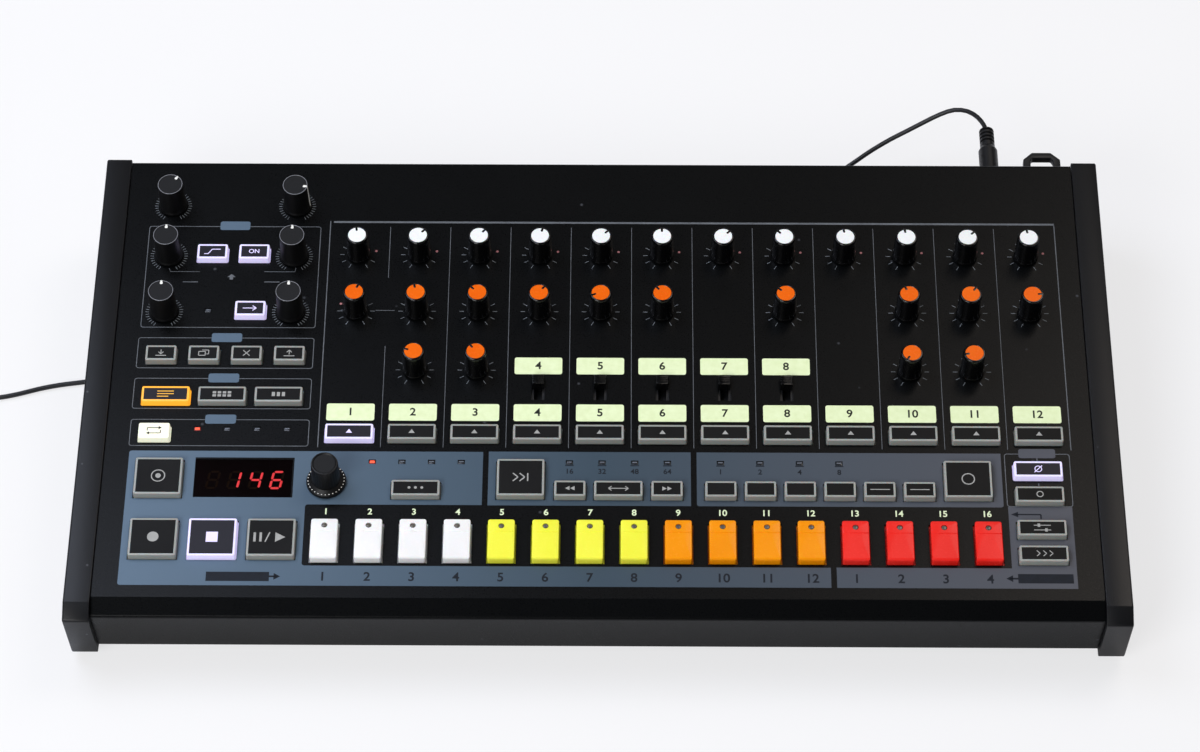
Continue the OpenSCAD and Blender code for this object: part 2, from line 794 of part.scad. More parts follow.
module mini_jack(x) {
    difference() {
        union() {
            rear_block(x, mini_body[0], y_inside - mini_body[1], y_inside, main_z, main_z + mini_body[2]);
            rear_rod(x, z_jack, mini_bush[0], y_inside - 1, y_plate + mini_bush[1]);
        }
        rear_rod(x, z_jack, mini_bore, y_inside - mini_body[1] + 2, y_plate + mini_bush[1] + 1);
    }
}

module din_socket(x) {
    z = main_z + din_body[2] / 2;
    face = y_plate + 0.8;
    difference() {
        union() {
            rear_block(x, din_body[0], y_inside - din_body[1], y_inside, main_z, main_z + din_body[2]);
            rear_rod(x, z, din_boss, y_inside - 1, face);
        }
        difference() {
            rear_rod(x, z, din_groove[1], face - din_groove[2], face + 1);
            rear_rod(x, z, din_groove[0], face - din_groove[2] - 1, face + 2);
        }
        for (a = [0:45:180])
            rear_rod(x + 3.6 * cos(a), z + 3.6 * sin(a) - 1, 1.7, face - 6, face + 1);
    }
}

module usb_socket() {
    z = main_z + usb_size[2] / 2;
    face = y_plate + 0.5;
    difference() {
        rear_block(usb_x, usb_size[0], face - usb_size[1], face, main_z, main_z + usb_size[2]);
        difference() {
            rear_block(usb_x, 8.6, face - 9, face + 1, z - 3.9, z + 3.9);
            rear_block(usb_x, 5.6, face - 10, face - 0.6, z - 1.6, z + 1.6);
        }
    }
}

module dc_inlet() {
    face = y_plate + 0.3;
    difference() {
        union() {
            rear_block(x_inlet, inlet_body[0], y_inside - inlet_body[1], y_inside,
                       main_z, z_plug + inlet_body[0] / 2);
            rear_rod(x_inlet, z_plug, inlet_boss, y_inside - 1, face);
        }
        difference() {
            rear_rod(x_inlet, z_plug, inlet_bore, face - 10, face + 1);
            rear_rod(x_inlet, z_plug, 2, face - 11, face - 1);
        }
    }
}

module rear_sockets() {
    color("#3a3c40") {
        for (x = mini_at)
            mini_jack(x);
        for (x = din_at)
            din_socket(x);
        usb_socket();
        dc_inlet();
    }
}

// Eyelet that keeps the supply lead from being pulled out
module cord_hook() {
    y0 = y_plate + hook_base[1];
    y1 = y_rear + hook_reach;
    w = hook_w / 2;
    b = hook_bar;
    c = hook_cut;
    color("#1a1a1c") {
        rear_block(x_hook, hook_base[0], y_plate, y0, hook_z - hook_base[2] / 2, hook_z + hook_base[2] / 2);
        translate([x_hook, 0, hook_z - hook_t / 2])
            linear_extrude(hook_t)
                difference() {
                    polygon([[-w, y0 - 0.5], [w, y0 - 0.5], [w, y1 - c],
                             [w - c, y1], [c - w, y1], [-w, y1 - c]]);
                    polygon([[b - w, y0], [w - b, y0], [w - b, y1 - c - b / 3], [w - c, y1 - b],
                             [c - w, y1 - b], [b - w, y1 - c - b / 3]]);
                }
    }
}

module power_rocker() {
    h = rocker_half;
    color("#161616")
        translate([rocker_x, y_plate, rocker_z])
            rotate([0, 0, rocker_tilt]) {
                translate([0, 0, -rocker_well[1] / 2 + run_gap])
                    linear_extrude(rocker_well[1] - 2 * run_gap)
                        polygon([[-h, -1.6], [h, -1.6], [h, 3.2], [0, 2.2], [-h, 3.2]]);
                translate([0, 0, -rocker_well[1] / 2 - 0.7])
                    cylinder(d = rocker_pin, h = rocker_well[1] + 1.4);
            }
}

// ---- supply lead ----

// Turns the section [radius, length] into a piece that points out of the rear
module dc_plug() {
    r = plug_body[0] / 2;
    q = plug_ribs[0] / 2;
    y0 = y_plate + 0.6;
    end = plug_body[1];
    top = end + plug_ribs[1];
    pitch = (plug_ribs[1] - plug_plain) / rib_count;
    color("#161616")
        translate([x_inlet, y0, z_plug])
            rotate([-90, 0, 0])
                difference() {
                    rotate_extrude()
                        polygon(concat(
                            [[0, -plug_barrel[1]], [plug_barrel[0] / 2, -plug_barrel[1]],
                             [plug_barrel[0] / 2, 0], [r - 0.4, 0], [r, 0.8], [r, end - plug_shoulder],
                             [q + 0.1, end - 0.3], [q, end]],
                            [for (i = [0:rib_count - 1])
                                let (z = end + plug_plain + i * pitch)
                                    each [[q, z - 0.3], [q - 0.9, z], [q - 0.9, z + 0.6], [q, z + 0.9]]],
                            [[q - 0.1, top - 0.8], [q - 0.9, top - 0.1], [cord_d / 2 + 0.3, top], [0, top]]));
                    translate([0, 0, -plug_barrel[1] - 1])
                        cylinder(d = plug_barrel[2], h = plug_barrel[1] + 0.5);
                }
}

// Point on the smooth line through the route, at t between points i and i + 1
function on_route(line, i, t) =
    let (n = len(line), a = line[max(i - 1, 0)], b = line[i], c = line[i + 1], d = line[min(i + 2, n - 1)])
    0.5 * (2 * b + (c - a) * t + (2 * a - 5 * b + 4 * c - d) * t * t + (3 * b - a - 3 * c + d) * t * t * t);

function smooth(line) = concat(
    [for (i = [0:len(line) - 2])
        let (k = max(1, round(norm(line[i + 1] - line[i]) / cord_step)))
        for (j = [0:k - 1]) on_route(line, i, j / k)],
    [line[len(line) - 1]]);

// Tube swept along a line that never stands upright
module tube(line, d) {
    p = smooth(line);
    n = len(p);
    s = cord_sides;
    rings = [for (i = [0:n - 1])
        let (f = unit(p[min(i + 1, n - 1)] - p[max(i - 1, 0)]), side = unit(cross(f, [0, 0, 1])),
             up = cross(side, f))
        for (j = [0:s - 1]) p[i] + d / 2 * (cos(360 * j / s) * side + sin(360 * j / s) * up)];
    faces = concat(
        [[for (j = [0:s - 1]) j]],
        [for (i = [0:n - 2], j = [0:s - 1])
            [i * s + j, (i + 1) * s + j, (i + 1) * s + (j + 1) % s, i * s + (j + 1) % s]],
        [[for (j = [s - 1:-1:0]) (n - 1) * s + j]]);
    polyhedron(rings, faces);
}

module power_cord() {
    color("#141414") {
        tube(route, cord_d);
        tube(tail, cord_d);
    }
}

module cord_coil() {
    color("#141414")
        translate([coil_at[0], coil_at[1], 0])
            rotate_extrude()
                translate([coil_turn[0] - cord_d / 2, 0])
                    square([coil_turn[1] - coil_turn[0] + cord_d, coil_top + cord_d / 2]);
}

module wall_adapter() {
    end = tail[len(tail) - 1];
    color("#18181a") {
        translate([end[0], adapter_y + adapter_size[1] / 2, 0])
            prism(adapter_size[0], adapter_size[1], 4, 0, adapter_size[2]);
        translate(end)
            rotate([-90, 0, 0])
                cylinder(d1 = cord_d + 0.6, d2 = 7, h = adapter_y - end[1] + 0.5);
    }
    color("#c8c8cc")
        for (s = [-1, 1])
            translate([end[0] - adapter_size[0] / 2 - adapter_blade[0],
                       adapter_y + adapter_size[1] / 2 + s * adapter_pitch / 2 - adapter_blade[2] / 2,
                       (adapter_size[2] - adapter_blade[1]) / 2])
                cube([adapter_blade[0] + 0.5, adapter_blade[2], adapter_blade[1]]);
}

// ---- knobs ----

// Turned knob with a blind bore, its inlay and its shaft
module knob(d, top, h, inlay, shoulder, turn) {
    r = d / 2;
    t = top / 2;
    seat = h - inlay_t;
    bore = shaft_d / 2 + fit_gap;
    reach = seat - 2;
    rotate([0, 0, -turn]) {
        rotate_extrude()
            polygon([[0, seat], [inlay / 2 + fit_gap, seat], [inlay / 2 + fit_gap, h], [t - shoulder[0], h],
                     [t - 0.15, h - shoulder[1] * 0.6], [t, h - shoulder[1]], [r - 0.2, knob_lift + 1.1],
                     [r, knob_lift + 0.9], [r, knob_lift],
                     [bore, knob_lift], [bore, reach], [0, reach]]);
        difference() {
            translate([0, 0, seat + fit_gap])
                cylinder(d = inlay, h = inlay_t);
            translate([-0.6, inlay / 2 - 2.4, seat])
                cube([1.2, 3, inlay_t + 1]);
        }
        difference() {
            translate([0, 0, board_top + 1.5])
                cylinder(d = shaft_d, h = reach - fit_gap - board_top - 1.5);
            // Flat of the D-shaped shaft end
            translate([-shaft_d / 2, shaft_d / 2 - 1.5, knob_lift + 2])
                cube([shaft_d, 2, reach]);
        }
    }
}

module knob_at(place, kind, turn) {
    on_panel()
        translate([place[0], place[1], 0])
            if (kind == "fx")
                knob(fx_knob_d, fx_knob_top, fx_knob_h, fx_knob_top - 1.4, fx_shoulder, turn);
            else
                knob(ch_knob_d, ch_knob_top, ch_knob_h, inlay_d, ch_shoulder, turn);
}

module level_knob(i) {
    color("#e8e8e8") knob_at([ch_u(i), level_v], "channel", level_turn[i]);
}

module tune_knob(k) {
    color("#ff6a13") knob_at([ch_u(tune_turn[k][0]), tune_v], "channel", tune_turn[k][1]);
}

module tone_knob(k) {
    color("#ff6a13") knob_at([ch_u(tone_turn[k][0]), tone_v], "channel", tone_turn[k][1]);
}

module fx_knob(k) {
    t = fx_turn[k];
    color("#141416") knob_at([fx_u[t[0]], fx_v[t[1]]], "fx", t[2]);
}

module data_dial() {
    t = dial_top / 2;
    s = dial_skirt_d / 2;
    bore = shaft_d / 2 + fit_gap;
    reach = dial_h - 3;
    color("#141416")
        on_panel()
            translate([dial_at[0], dial_at[1], 0]) {
                rotate_extrude()
                    polygon([[0, dial_h - 0.4], [t - 1.2, dial_h - 0.4], [t - 0.5, dial_h],
                             [t, dial_h - 0.6], [t + 0.5, knob_lift + 3], [s - 0.8, knob_lift + 2],
                             [s, knob_lift + 0.6], [s, knob_lift], [bore, knob_lift], [bore, reach],
                             [0, reach]]);
                translate([0, 0, board_top + 1.5])
                    cylinder(d = shaft_d, h = reach - fit_gap - board_top - 1.5);
            }
}

// ---- buttons and keys ----

// Light-guiding cap with flanges that stop under the panel, a plunger and a dark plate set in its top
module button(w, d) {
    foot = under - run_gap - flange_t;
    difference() {
        union() {
            prism(w, d, cap_r, foot, button_h);
            prism(w, d + 2 * flange_w, cap_r, foot, foot + flange_t);
            block(plunger_w, plunger_w, board_top + button_travel + plunger_gap, foot + 0.5);
        }
        prism(w - 2 * button_rim, d - 2 * button_rim, cap_r / 2, button_h - plate_t, button_h + 1);
    }
    prism(w - 2 * button_rim - 2 * fit_gap, d - 2 * button_rim - 2 * fit_gap, cap_r / 2,
          button_h - plate_t + fit_gap, button_h);
}

module button_row(places, w, d) {
    on_panel()
        for (t = places)
            translate([t[0], t[1], 0])
                button(w, d);
}

module select_buttons() {
    color("#8c8f8a") button_row(select_at, wide_w, strip_d);
}

module square_buttons() {
    color("#8c8f8a") button_row(square_at, square_w, square_d);
}

module strip_buttons() {
    color("#8c8f8a") {
        button_row(narrow_at, narrow_w, strip_d);
        button_row(wide_at, wide_w, strip_d);
    }
}

// Side view of a step key from its flange to its rounded top edges, with the groove ahead of its light
function key_section() =
    let (h = key_d / 2, r = key_rise_r, g = key_groove)
    concat([[-h, under - run_gap], [h, under - run_gap]],
           [for (a = [0:30:90]) [h - 0.7 + 0.7 * cos(a), key_h - 0.7 + 0.7 * sin(a)]],
           [[g[0] + g[1] / 2, key_h], [g[0], key_h - g[2]], [g[0] - g[1] / 2, key_h]],
           [for (a = [90:15:165]) [-h + r + r * cos(a), key_h - r + r * sin(a)]]);

module step_key() {
    foot = under - run_gap - flange_t;
    difference() {
        union() {
            translate([-key_w / 2, 0, 0])
                rotate([90, 0, 90])
                    linear_extrude(key_w)
                        polygon(key_section());
            block(key_w + 2 * flange_w, key_d + 2 * flange_w, foot, foot + flange_t);
        }
        block(key_w - 2 * key_wall, key_d - 2 * key_wall, foot - 1, key_h - key_wall - 0.6);
        translate([key_light[0], key_light[1], foot])
            cylinder(d = key_hole_d, h = key_h + 4);
    }
    block(plunger_w, plunger_w, board_top + key_travel + plunger_gap, key_h - key_wall);
}

module step_keys() {
    for (i = [0:15])
        color(["#f4f4f4", "#f5f53a", "#ff9a00", "#f01a14"][floor(i / 4)])
            on_panel()
                translate([key_at[i][0], key_at[i][1], 0])
                    step_key();
}

module slide_caps() {
    color("#141416")
        on_panel()
            for (t = slide_at)
                translate([t[0], t[1] + slide_travel / 2, 0]) {
                    difference() {
                        block(slide_cap[0], slide_cap[1], under - 0.2, slide_cap[2]);
                        for (v = [-1.2, 0, 1.2])
                            translate([0, v, slide_cap[2]])
                                block(slide_cap[0] + 1, 0.5, -0.4, 1);
                    }
                    block(slide_stem[0], slide_stem[1], under - slide_stem[2], under);
                }
}

top_panel();
base_pan();
rear_panel();
left_cheek();
right_cheek();
rubber_feet();
case_screws();
main_board();
panel_board();
pot_bodies();
switch_bodies();
display_window();
display_module();
indicator_lights();
phone_jacks();
rear_sockets();
cord_hook();
dc_plug();
power_cord();
cord_coil();
wall_adapter();
for (i = [0:11])
    level_knob(i);
for (k = [0:len(tune_turn) - 1])
    tune_knob(k);
for (k = [0:len(tone_turn) - 1])
    tone_knob(k);
for (k = [0:5])
    fx_knob(k);
data_dial();
step_keys();
select_buttons();
square_buttons();
strip_buttons();
slide_caps();
power_rocker();
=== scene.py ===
import math

import bmesh
import bpy
from mathutils import Matrix, Vector


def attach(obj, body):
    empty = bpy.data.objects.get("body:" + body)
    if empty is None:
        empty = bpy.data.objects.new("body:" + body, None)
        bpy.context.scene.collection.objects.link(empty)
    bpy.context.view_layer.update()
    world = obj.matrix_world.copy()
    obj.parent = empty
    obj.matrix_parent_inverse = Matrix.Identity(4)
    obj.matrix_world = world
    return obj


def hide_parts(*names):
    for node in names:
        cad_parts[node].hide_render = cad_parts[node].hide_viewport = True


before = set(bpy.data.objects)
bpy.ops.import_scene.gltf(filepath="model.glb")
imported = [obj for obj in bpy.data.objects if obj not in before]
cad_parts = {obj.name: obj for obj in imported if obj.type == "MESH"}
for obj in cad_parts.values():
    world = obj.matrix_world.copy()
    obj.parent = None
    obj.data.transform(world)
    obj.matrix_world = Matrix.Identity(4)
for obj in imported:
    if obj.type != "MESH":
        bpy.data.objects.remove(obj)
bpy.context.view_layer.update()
print("frame loaded,", len(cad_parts), "nodes")

mm = 0.001

# the case's own lines, in millimetres: nearly everything is placed on its sloping panel
case = {
    "depth": 266.2,
    "hookReach": 18.8,
    "rearHeight": 64,
    "frontHeight": 45,
    "noseRun": 8.5,  # from the front of the nose to the foot of the slope
    "cheekProud": 1.5,
    "rearSet": 0.7,  # the panel's rear lip lies this far inside the cheeks' rear ends
    "sheet": 1.2,
}
noseY = -(case["depth"] + case["hookReach"]) / 2
rearY = noseY + case["depth"]
plateY = rearY - case["rearSet"] - case["sheet"]
slope = math.atan2(case["rearHeight"] - case["frontHeight"], case["depth"] - case["noseRun"])
toTable = Matrix.Scale(mm, 4)
toPanel = (
    toTable
    @ Matrix.Translation((0, noseY + case["noseRun"], case["frontHeight"]))
    @ Matrix.Rotation(slope, 4, "X")
    @ Matrix.Translation((0, 0, -case["cheekProud"]))
)

camera = {
    "place": (10.97, -1123.04, 1461.67),
    "elevation": 51.58,  # degrees below the horizon that it looks
    "turn": 0.548,  # degrees to the left
    "roll": -0.199,
    "lens": 111.79,
    "sensor": 36,
    "clip": (0.05, 20),  # metres
}


def addObject(name, data):
    obj = bpy.data.objects.new(name, data)
    bpy.context.scene.collection.objects.link(obj)
    return obj


def makeCamera():
    data = bpy.data.cameras.new("camera")
    data.sensor_width = camera["sensor"]
    data.lens = camera["lens"]
    data.clip_start, data.clip_end = camera["clip"]
    obj = addObject("camera", data)
    obj.matrix_world = (
        Matrix.Translation(Vector(camera["place"]) * mm)
        @ Matrix.Rotation(math.radians(camera["turn"]), 4, "Z")
        @ Matrix.Rotation(math.radians(90 - camera["elevation"]), 4, "X")
        @ Matrix.Rotation(math.radians(camera["roll"]), 4, "Z")
    )
    bpy.context.scene.camera = obj


makeCamera()


def linear(hexCode):
    parts = [int(hexCode[i:i + 2], 16) / 255 for i in (1, 3, 5)]
    return tuple(p / 12.92 if p < 0.04045 else ((p + 0.055) / 1.055) ** 2.4 for p in parts) + (1,)


# settings and links go by a socket's name or number, and other names are the node's own settings
def addNode(tree, kind, settings=None, links=None):
    node = tree.nodes.new(kind)
    for name, value in (settings or {}).items():
        if isinstance(name, int) or name in node.inputs:
            node.inputs[name].default_value = value
        else:
            setattr(node, name, value)
    for name, source in (links or {}).items():
        tree.links.new(source, node.inputs[name])
    return node


def startMaterial(name, colour, roughness, inputs=None):
    material = bpy.data.materials.new(name)
    material.use_nodes = True
    tree = material.node_tree
    shader = tree.nodes["Principled BSDF"]
    for socket, value in {"Base Color": linear(colour), "Roughness": roughness, **(inputs or {})}.items():
        shader.inputs[socket].default_value = value
    place = addNode(tree, "ShaderNodeTexCoord").outputs["Object"]
    return material, tree, shader, place


# surface grain: a noise of a real size in millimetres that lifts the surface and varies the gloss
def addGrain(tree, shader, place, size, depth, gloss=0.0):
    noise = addNode(
        tree, "ShaderNodeTexNoise",
        {"Scale": 1 / (size * mm), "Detail": 2.0, "Roughness": 0.55}, {"Vector": place},
    )
    bump = addNode(
        tree, "ShaderNodeBump", {"Strength": 1.0, "Distance": depth * mm}, {"Height": noise.outputs["Fac"]}
    )
    tree.links.new(bump.outputs["Normal"], shader.inputs["Normal"])
    if gloss:
        base = shader.inputs["Roughness"].default_value
        spread = addNode(
            tree, "ShaderNodeMapRange",
            {"From Min": 0.3, "From Max": 0.7, "To Min": base - gloss, "To Max": base + gloss},
            {"Value": noise.outputs["Fac"]},
        )
        tree.links.new(spread.outputs["Result"], shader.inputs["Roughness"])


# slow change of shade over a surface, as on handled or unevenly cured finishes
def addShade(tree, shader, place, size, low, high):
    cloud = addNode(
        tree, "ShaderNodeTexNoise", {"Scale": 1 / (size * mm), "Detail": 3.0}, {"Vector": place}
    )
    ramp = addNode(tree, "ShaderNodeValToRGB", None, {"Fac": cloud.outputs["Fac"]})
    for stop, position, colour in zip(ramp.color_ramp.elements, (0.3, 0.7), (low, high)):
        stop.position = position
        stop.color = linear(colour)
    tree.links.new(ramp.outputs["Color"], shader.inputs["Base Color"])


# stray dust: rare small spots a little lighter than the finish under them
def addDust(tree, shader, place, size, amount, colour):
    cells = addNode(
        tree, "ShaderNodeTexVoronoi", {"Scale": 1 / (size * mm), "Randomness": 1.0}, {"Vector": place}
    )
    near = addNode(
        tree, "ShaderNodeMapRange", {"From Min": 0.05, "From Max": 0.11, "To Min": 1.0, "To Max": 0.0},
        {"Value": cells.outputs["Distance"]},
    )
    parts = addNode(tree, "ShaderNodeSeparateColor", None, {"Color": cells.outputs["Color"]})
    pick = addNode(
        tree, "ShaderNodeMath", {"operation": "GREATER_THAN", 1: 1 - amount}, {0: parts.outputs["Red"]}
    )
    spots = addNode(
        tree, "ShaderNodeMath", {"operation": "MULTIPLY"},
        {0: near.outputs["Result"], 1: pick.outputs["Value"]},
    )
    under = shader.inputs["Base Color"].links[0].from_socket
    mix = addNode(
        tree, "ShaderNodeMix", {"data_type": "RGBA", 7: linear(colour)},
        {0: spots.outputs["Value"], 6: under},
    )
    tree.links.new(mix.outputs[2], shader.inputs["Base Color"])


def addGlow(shader, colour, strength):
    shader.inputs["Emission Color"].default_value = linear(colour)
    shader.inputs["Emission Strength"].default_value = strength


# one finish, with what it needs of shade, grain, dust and glow, each given as that function's own values
def mixFinish(name, colour, roughness, inputs=None, shade=None, grain=None, dust=None, glow=None):
    material, tree, shader, place = startMaterial(name, colour, roughness, inputs)
    for layer, values in ((addShade, shade), (addGrain, grain), (addDust, dust)):
        if values:
            layer(tree, shader, place, *values)
    if glow:
        addGlow(shader, *glow)
    return material


def linkPiece(mesh, name, body, materials, smooth):
    for material in materials:
        mesh.materials.append(material)
    if smooth:
        mesh.polygons.foreach_set("use_smooth", [True] * len(mesh.polygons))
        mesh.set_sharp_from_angle(angle=math.radians(smooth))
    obj = addObject(name, mesh)
    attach(obj, body)
    return obj


# smooth is the angle in degrees past which an edge stays sharp, and 0 leaves all faces flat
def makePiece(bm, name, body, materials, smooth=30, place=toPanel):
    bmesh.ops.transform(bm, matrix=place, verts=bm.verts)
    bmesh.ops.recalc_face_normals(bm, faces=bm.faces)
    mesh = bpy.data.meshes.new(name)
    bm.to_mesh(mesh)
    bm.free()
    return linkPiece(mesh, name, body, materials, smooth)


# adds a finished small shape to a bigger one, at its own place
def stamp(whole, part, place=Matrix(), paint=None):
    bmesh.ops.transform(part, matrix=place, verts=part.verts)
    if paint is not None:
        for face in part.faces:
            face.material_index = paint
    mesh = bpy.data.meshes.new("part")
    part.to_mesh(mesh)
    part.free()
    whole.from_mesh(mesh)
    bpy.data.meshes.remove(mesh)


# a place on the panel: along it, up its slope and out of it
def at(u, v, h=0):
    return Matrix.Translation((u, v, h))


def raiseFaces(bm, faces, way):
    raised = bmesh.ops.extrude_face_region(bm, geom=faces)
    moved = [g for g in raised["geom"] if isinstance(g, bmesh.types.BMVert)]
    bmesh.ops.translate(bm, vec=way, verts=moved)


def cutAcross(bm, spot, normal):
    bmesh.ops.bisect_plane(
        bm, geom=bm.verts[:] + bm.edges[:] + bm.faces[:], dist=1e-5, plane_co=spot, plane_no=normal
    )


# a flat outline raised to a closed slab between two heights
def slab(points, low, high):
    bm = bmesh.new()
    face = bm.faces.new([bm.verts.new((p[0], p[1], low)) for p in points])
    raiseFaces(bm, [face], (0, 0, high - low))
    bmesh.ops.recalc_face_normals(bm, faces=bm.faces)
    return bm


def disc(radius, low, high, steps=24):
    bm = bmesh.new()
    bmesh.ops.create_cone(
        bm, cap_ends=True, segments=steps, radius1=radius, radius2=radius, depth=high - low,
        matrix=at(0, 0, (low + high) / 2),
    )
    return bm


# block with rounded upright edges, and top edges softened if soft is given; taper draws the top in
def roundedBlock(width, depth, low, high, radius, soft=0.0, taper=0.0, steps=4):
    bm = bmesh.new()
    bmesh.ops.create_cube(
        bm, size=1,
        matrix=at(0, 0, (low + high) / 2) @ Matrix.Diagonal((width, depth, high - low, 1)),
    )
    upright = [e for e in bm.edges if abs(e.verts[0].co.z - e.verts[1].co.z) > (high - low) / 2]
    bmesh.ops.bevel(
        bm, geom=upright, offset=radius, segments=steps, profile=0.5, affect="EDGES", material=-1
    )
    if taper:
        for vert in bm.verts:
            if vert.co.z > (low + high) / 2:
                vert.co.x *= 1 - 2 * taper / width
                vert.co.y *= 1 - 2 * taper / depth
    if soft:
        rim = [e for e in bm.edges if all(abs(v.co.z - high) < 1e-5 for v in e.verts)]
        bmesh.ops.bevel(bm, geom=rim, offset=soft, segments=3, profile=0.5, affect="EDGES", material=-1)
    return bm


# solid of revolution from a [radius, height] line, which ends on the axis or is closed into a ring
def turned(line, steps=64, closed=False):
    bm = bmesh.new()
    verts = [bm.verts.new((r, 0, z)) for r, z in line]
    after = verts[1:] + verts[:1] if closed else verts[1:]
    edges = [bm.edges.new(pair) for pair in zip(verts, after)]
    bmesh.ops.spin(
        bm, geom=verts + edges, cent=(0, 0, 0), axis=(0, 0, 1), angle=math.tau, steps=steps, use_merge=True
    )
    bmesh.ops.remove_doubles(bm, verts=bm.verts, dist=1e-4)
    bmesh.ops.recalc_face_normals(bm, faces=bm.faces)
    return bm


lead = {
    "diameter": 2.4,
    "rest": 1.3,  # height of its middle over the table
    "step": 4.0,
    "coilCentre": (-350, rearY - 85.7),
    "coilRadii": (19.4, 16.9, 14.4),
    "coilLayers": (1.3, 3.8, 6.3, 8.8),
    "stepsPerTurn": 24,
    "moveOver": (200, 260),  # degrees of each turn in which it moves over to the next place
    "tailSteps": (4, 8, 12, 16, 20, 22),  # from the coil's left side back to the adapter
    "inletX": 196.8,
    "plugZ": 45,
    "plugReach": 40.3,  # from the rear panel to the end of the plug
}


# the way from the plug in an arch down to the table, under the case and out to the left
def leadRoute():
    x, z, y, low = lead["inletX"], lead["plugZ"], rearY, lead["rest"]
    coilFront = lead["coilCentre"][1] - lead["coilRadii"][0]
    return [
        (x, plateY + lead["plugReach"], z), (x - 1, y + 42, z), (x - 3.8, y + 47.8, z - 0.5),
        (x - 8.5, y + 53.3, z - 2), (x - 15, y + 56.5, z - 4.5), (x - 22, y + 56.8, z - 8.2),
        (x - 30, y + 55.5, z - 12.7), (x - 38.5, y + 53.5, z - 17.2), (x - 47, y + 52, 22.8),
        (x - 57, y + 49.5, 16.5), (x - 67, y + 45.5, 10.5), (x - 78, y + 40.3, 5.3),
        (106, y + 33, low), (88, y + 22.8, low), (60, y + 8.3, low), (20, y - 9.7, low),
        (-30, y - 26.7, low), (-90, y - 44.7, low), (-150, y - 62.7, low), (-205, y - 80.7, low),
        (-240, y - 90.7, low), (-258, y - 93.7, low), (-270, y - 95.7, low), (-280, y - 98.2, low),
        (-289, y - 101.2, low), (-299, y - 103.7, low), (-312, coilFront, low), (-327, coilFront, low),
        (-342, coilFront, low),
    ]


# smooth line through given points
def smoothLine(points, step):
    points = [Vector(p) for p in points]
    line = []
    for i in range(len(points) - 1):
        a, b, c = points[max(i - 1, 0)], points[i], points[i + 1]
        d = points[min(i + 2, len(points) - 1)]
        count = max(1, round((c - b).length / step))
        for j in range(count):
            t = j / count
            line.append(
                0.5 * (2 * b + (c - a) * t + (2 * a - 5 * b + 4 * c - d) * t * t
                       + (3 * b - a - 3 * c + d) * t * t * t)
            )
    line.append(points[-1])
    return line


# turns wound clockwise, starting at the front: out to in, up one layer, in to out and so on
def coilTurns():
    cx, cy = lead["coilCentre"]
    stations = []
    for k, z in enumerate(lead["coilLayers"]):
        for r in lead["coilRadii"] if k % 2 == 0 else lead["coilRadii"][::-1]:
            stations.append((r, z))
    moveFrom, moveTo = lead["moveOver"]
    total = 360 * (len(stations) - 1) + 90  # it ends at the coil's left side
    count = int(total / 360 * lead["stepsPerTurn"])
    line = []
    for i in range(1, count + 1):
        swept = total * i / count
        turn, part = divmod(swept, 360)
        here = stations[min(int(turn), len(stations) - 1)]
        after = stations[min(int(turn) + 1, len(stations) - 1)]
        share = min(max((part - moveFrom) / (moveTo - moveFrom), 0), 1)
        share = share * share * (3 - 2 * share)
        r, z = (a + (b - a) * share for a, b in zip(here, after))
        angle = math.radians(-90 - swept)
        line.append(Vector((cx + r * math.cos(angle), cy + r * math.sin(angle), z)))
    return line


def leadLine():
    cx, cy = lead["coilCentre"]
    outer, bottom, top = lead["coilRadii"][0], lead["coilLayers"][0], lead["coilLayers"][-1]
    start = smoothLine(leadRoute() + [(cx, cy - outer, bottom)], lead["step"])
    tail = [Vector((cx - outer, cy + t, top)) for t in lead["tailSteps"]]
    return start + coilTurns() + tail


# soft PVC, extruded: black and satin, with a faint unevenness from the die
softPvc = mixFinish("softPvcJacket", "#101012", 0.42, grain=(0.8, 0.02, 0.06))


def makeLead():
    line = leadLine()
    curve = bpy.data.curves.new("supplyLead", "CURVE")
    curve.dimensions = "3D"
    curve.bevel_depth = lead["diameter"] / 2 * mm
    curve.bevel_resolution = 3
    curve.use_fill_caps = True
    spline = curve.splines.new("POLY")
    spline.points.add(len(line) - 1)
    for point, p in zip(spline.points, line):
        point.co = (*(p * mm), 1)
    obj = addObject("supplyLead", curve)
    curve.materials.append(softPvc)
    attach(obj, "case")
    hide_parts("power_cord", "cord_coil")
    length = sum((b - a).length for a, b in zip(line, line[1:])) * mm
    print("lead length", round(length, 4))
    return obj, line, length


# the strap's inner faces are measured from the coil's middle, and it is thinner under the turns
tie = {"inner": 13.0, "outer": 20.8, "top": 10.3, "thick": 0.7, "under": 0.08, "width": 5, "turn": -35}


def makeTie():
    inner, outer, top, thick = tie["inner"], tie["outer"], tie["top"], tie["thick"]
    inside = [(inner, tie["under"]), (inner, top), (outer, top), (outer, tie["under"])]
    outside = [
        (inner - thick, 0), (inner - thick, top + thick), (outer + thick, top + thick), (outer + thick, 0),
    ]
    bm = bmesh.new()
    loops = [[bm.verts.new((r, -tie["width"] / 2, z)) for r, z in loop] for loop in (inside, outside)]
    faces = []
    for i in range(4):
        j = (i + 1) % 4
        faces.append(bm.faces.new((loops[0][i], loops[0][j], loops[1][j], loops[1][i])))
    raiseFaces(bm, faces, (0, tie["width"], 0))
    # woven hook tape: dull black with a coarse pile
    hookTape = mixFinish("wovenHookTape", "#1b1b1d", 0.9, grain=(0.5, 0.08))
    spot = toTable @ at(*lead["coilCentre"]) @ Matrix.Rotation(math.radians(tie["turn"]), 4, "Z")
    makePiece(bm, "leadTie", "case", [hookTape], 20, spot)


leadObj, leadPath, leadLength = makeLead()
makeTie()
print("supply lead done")

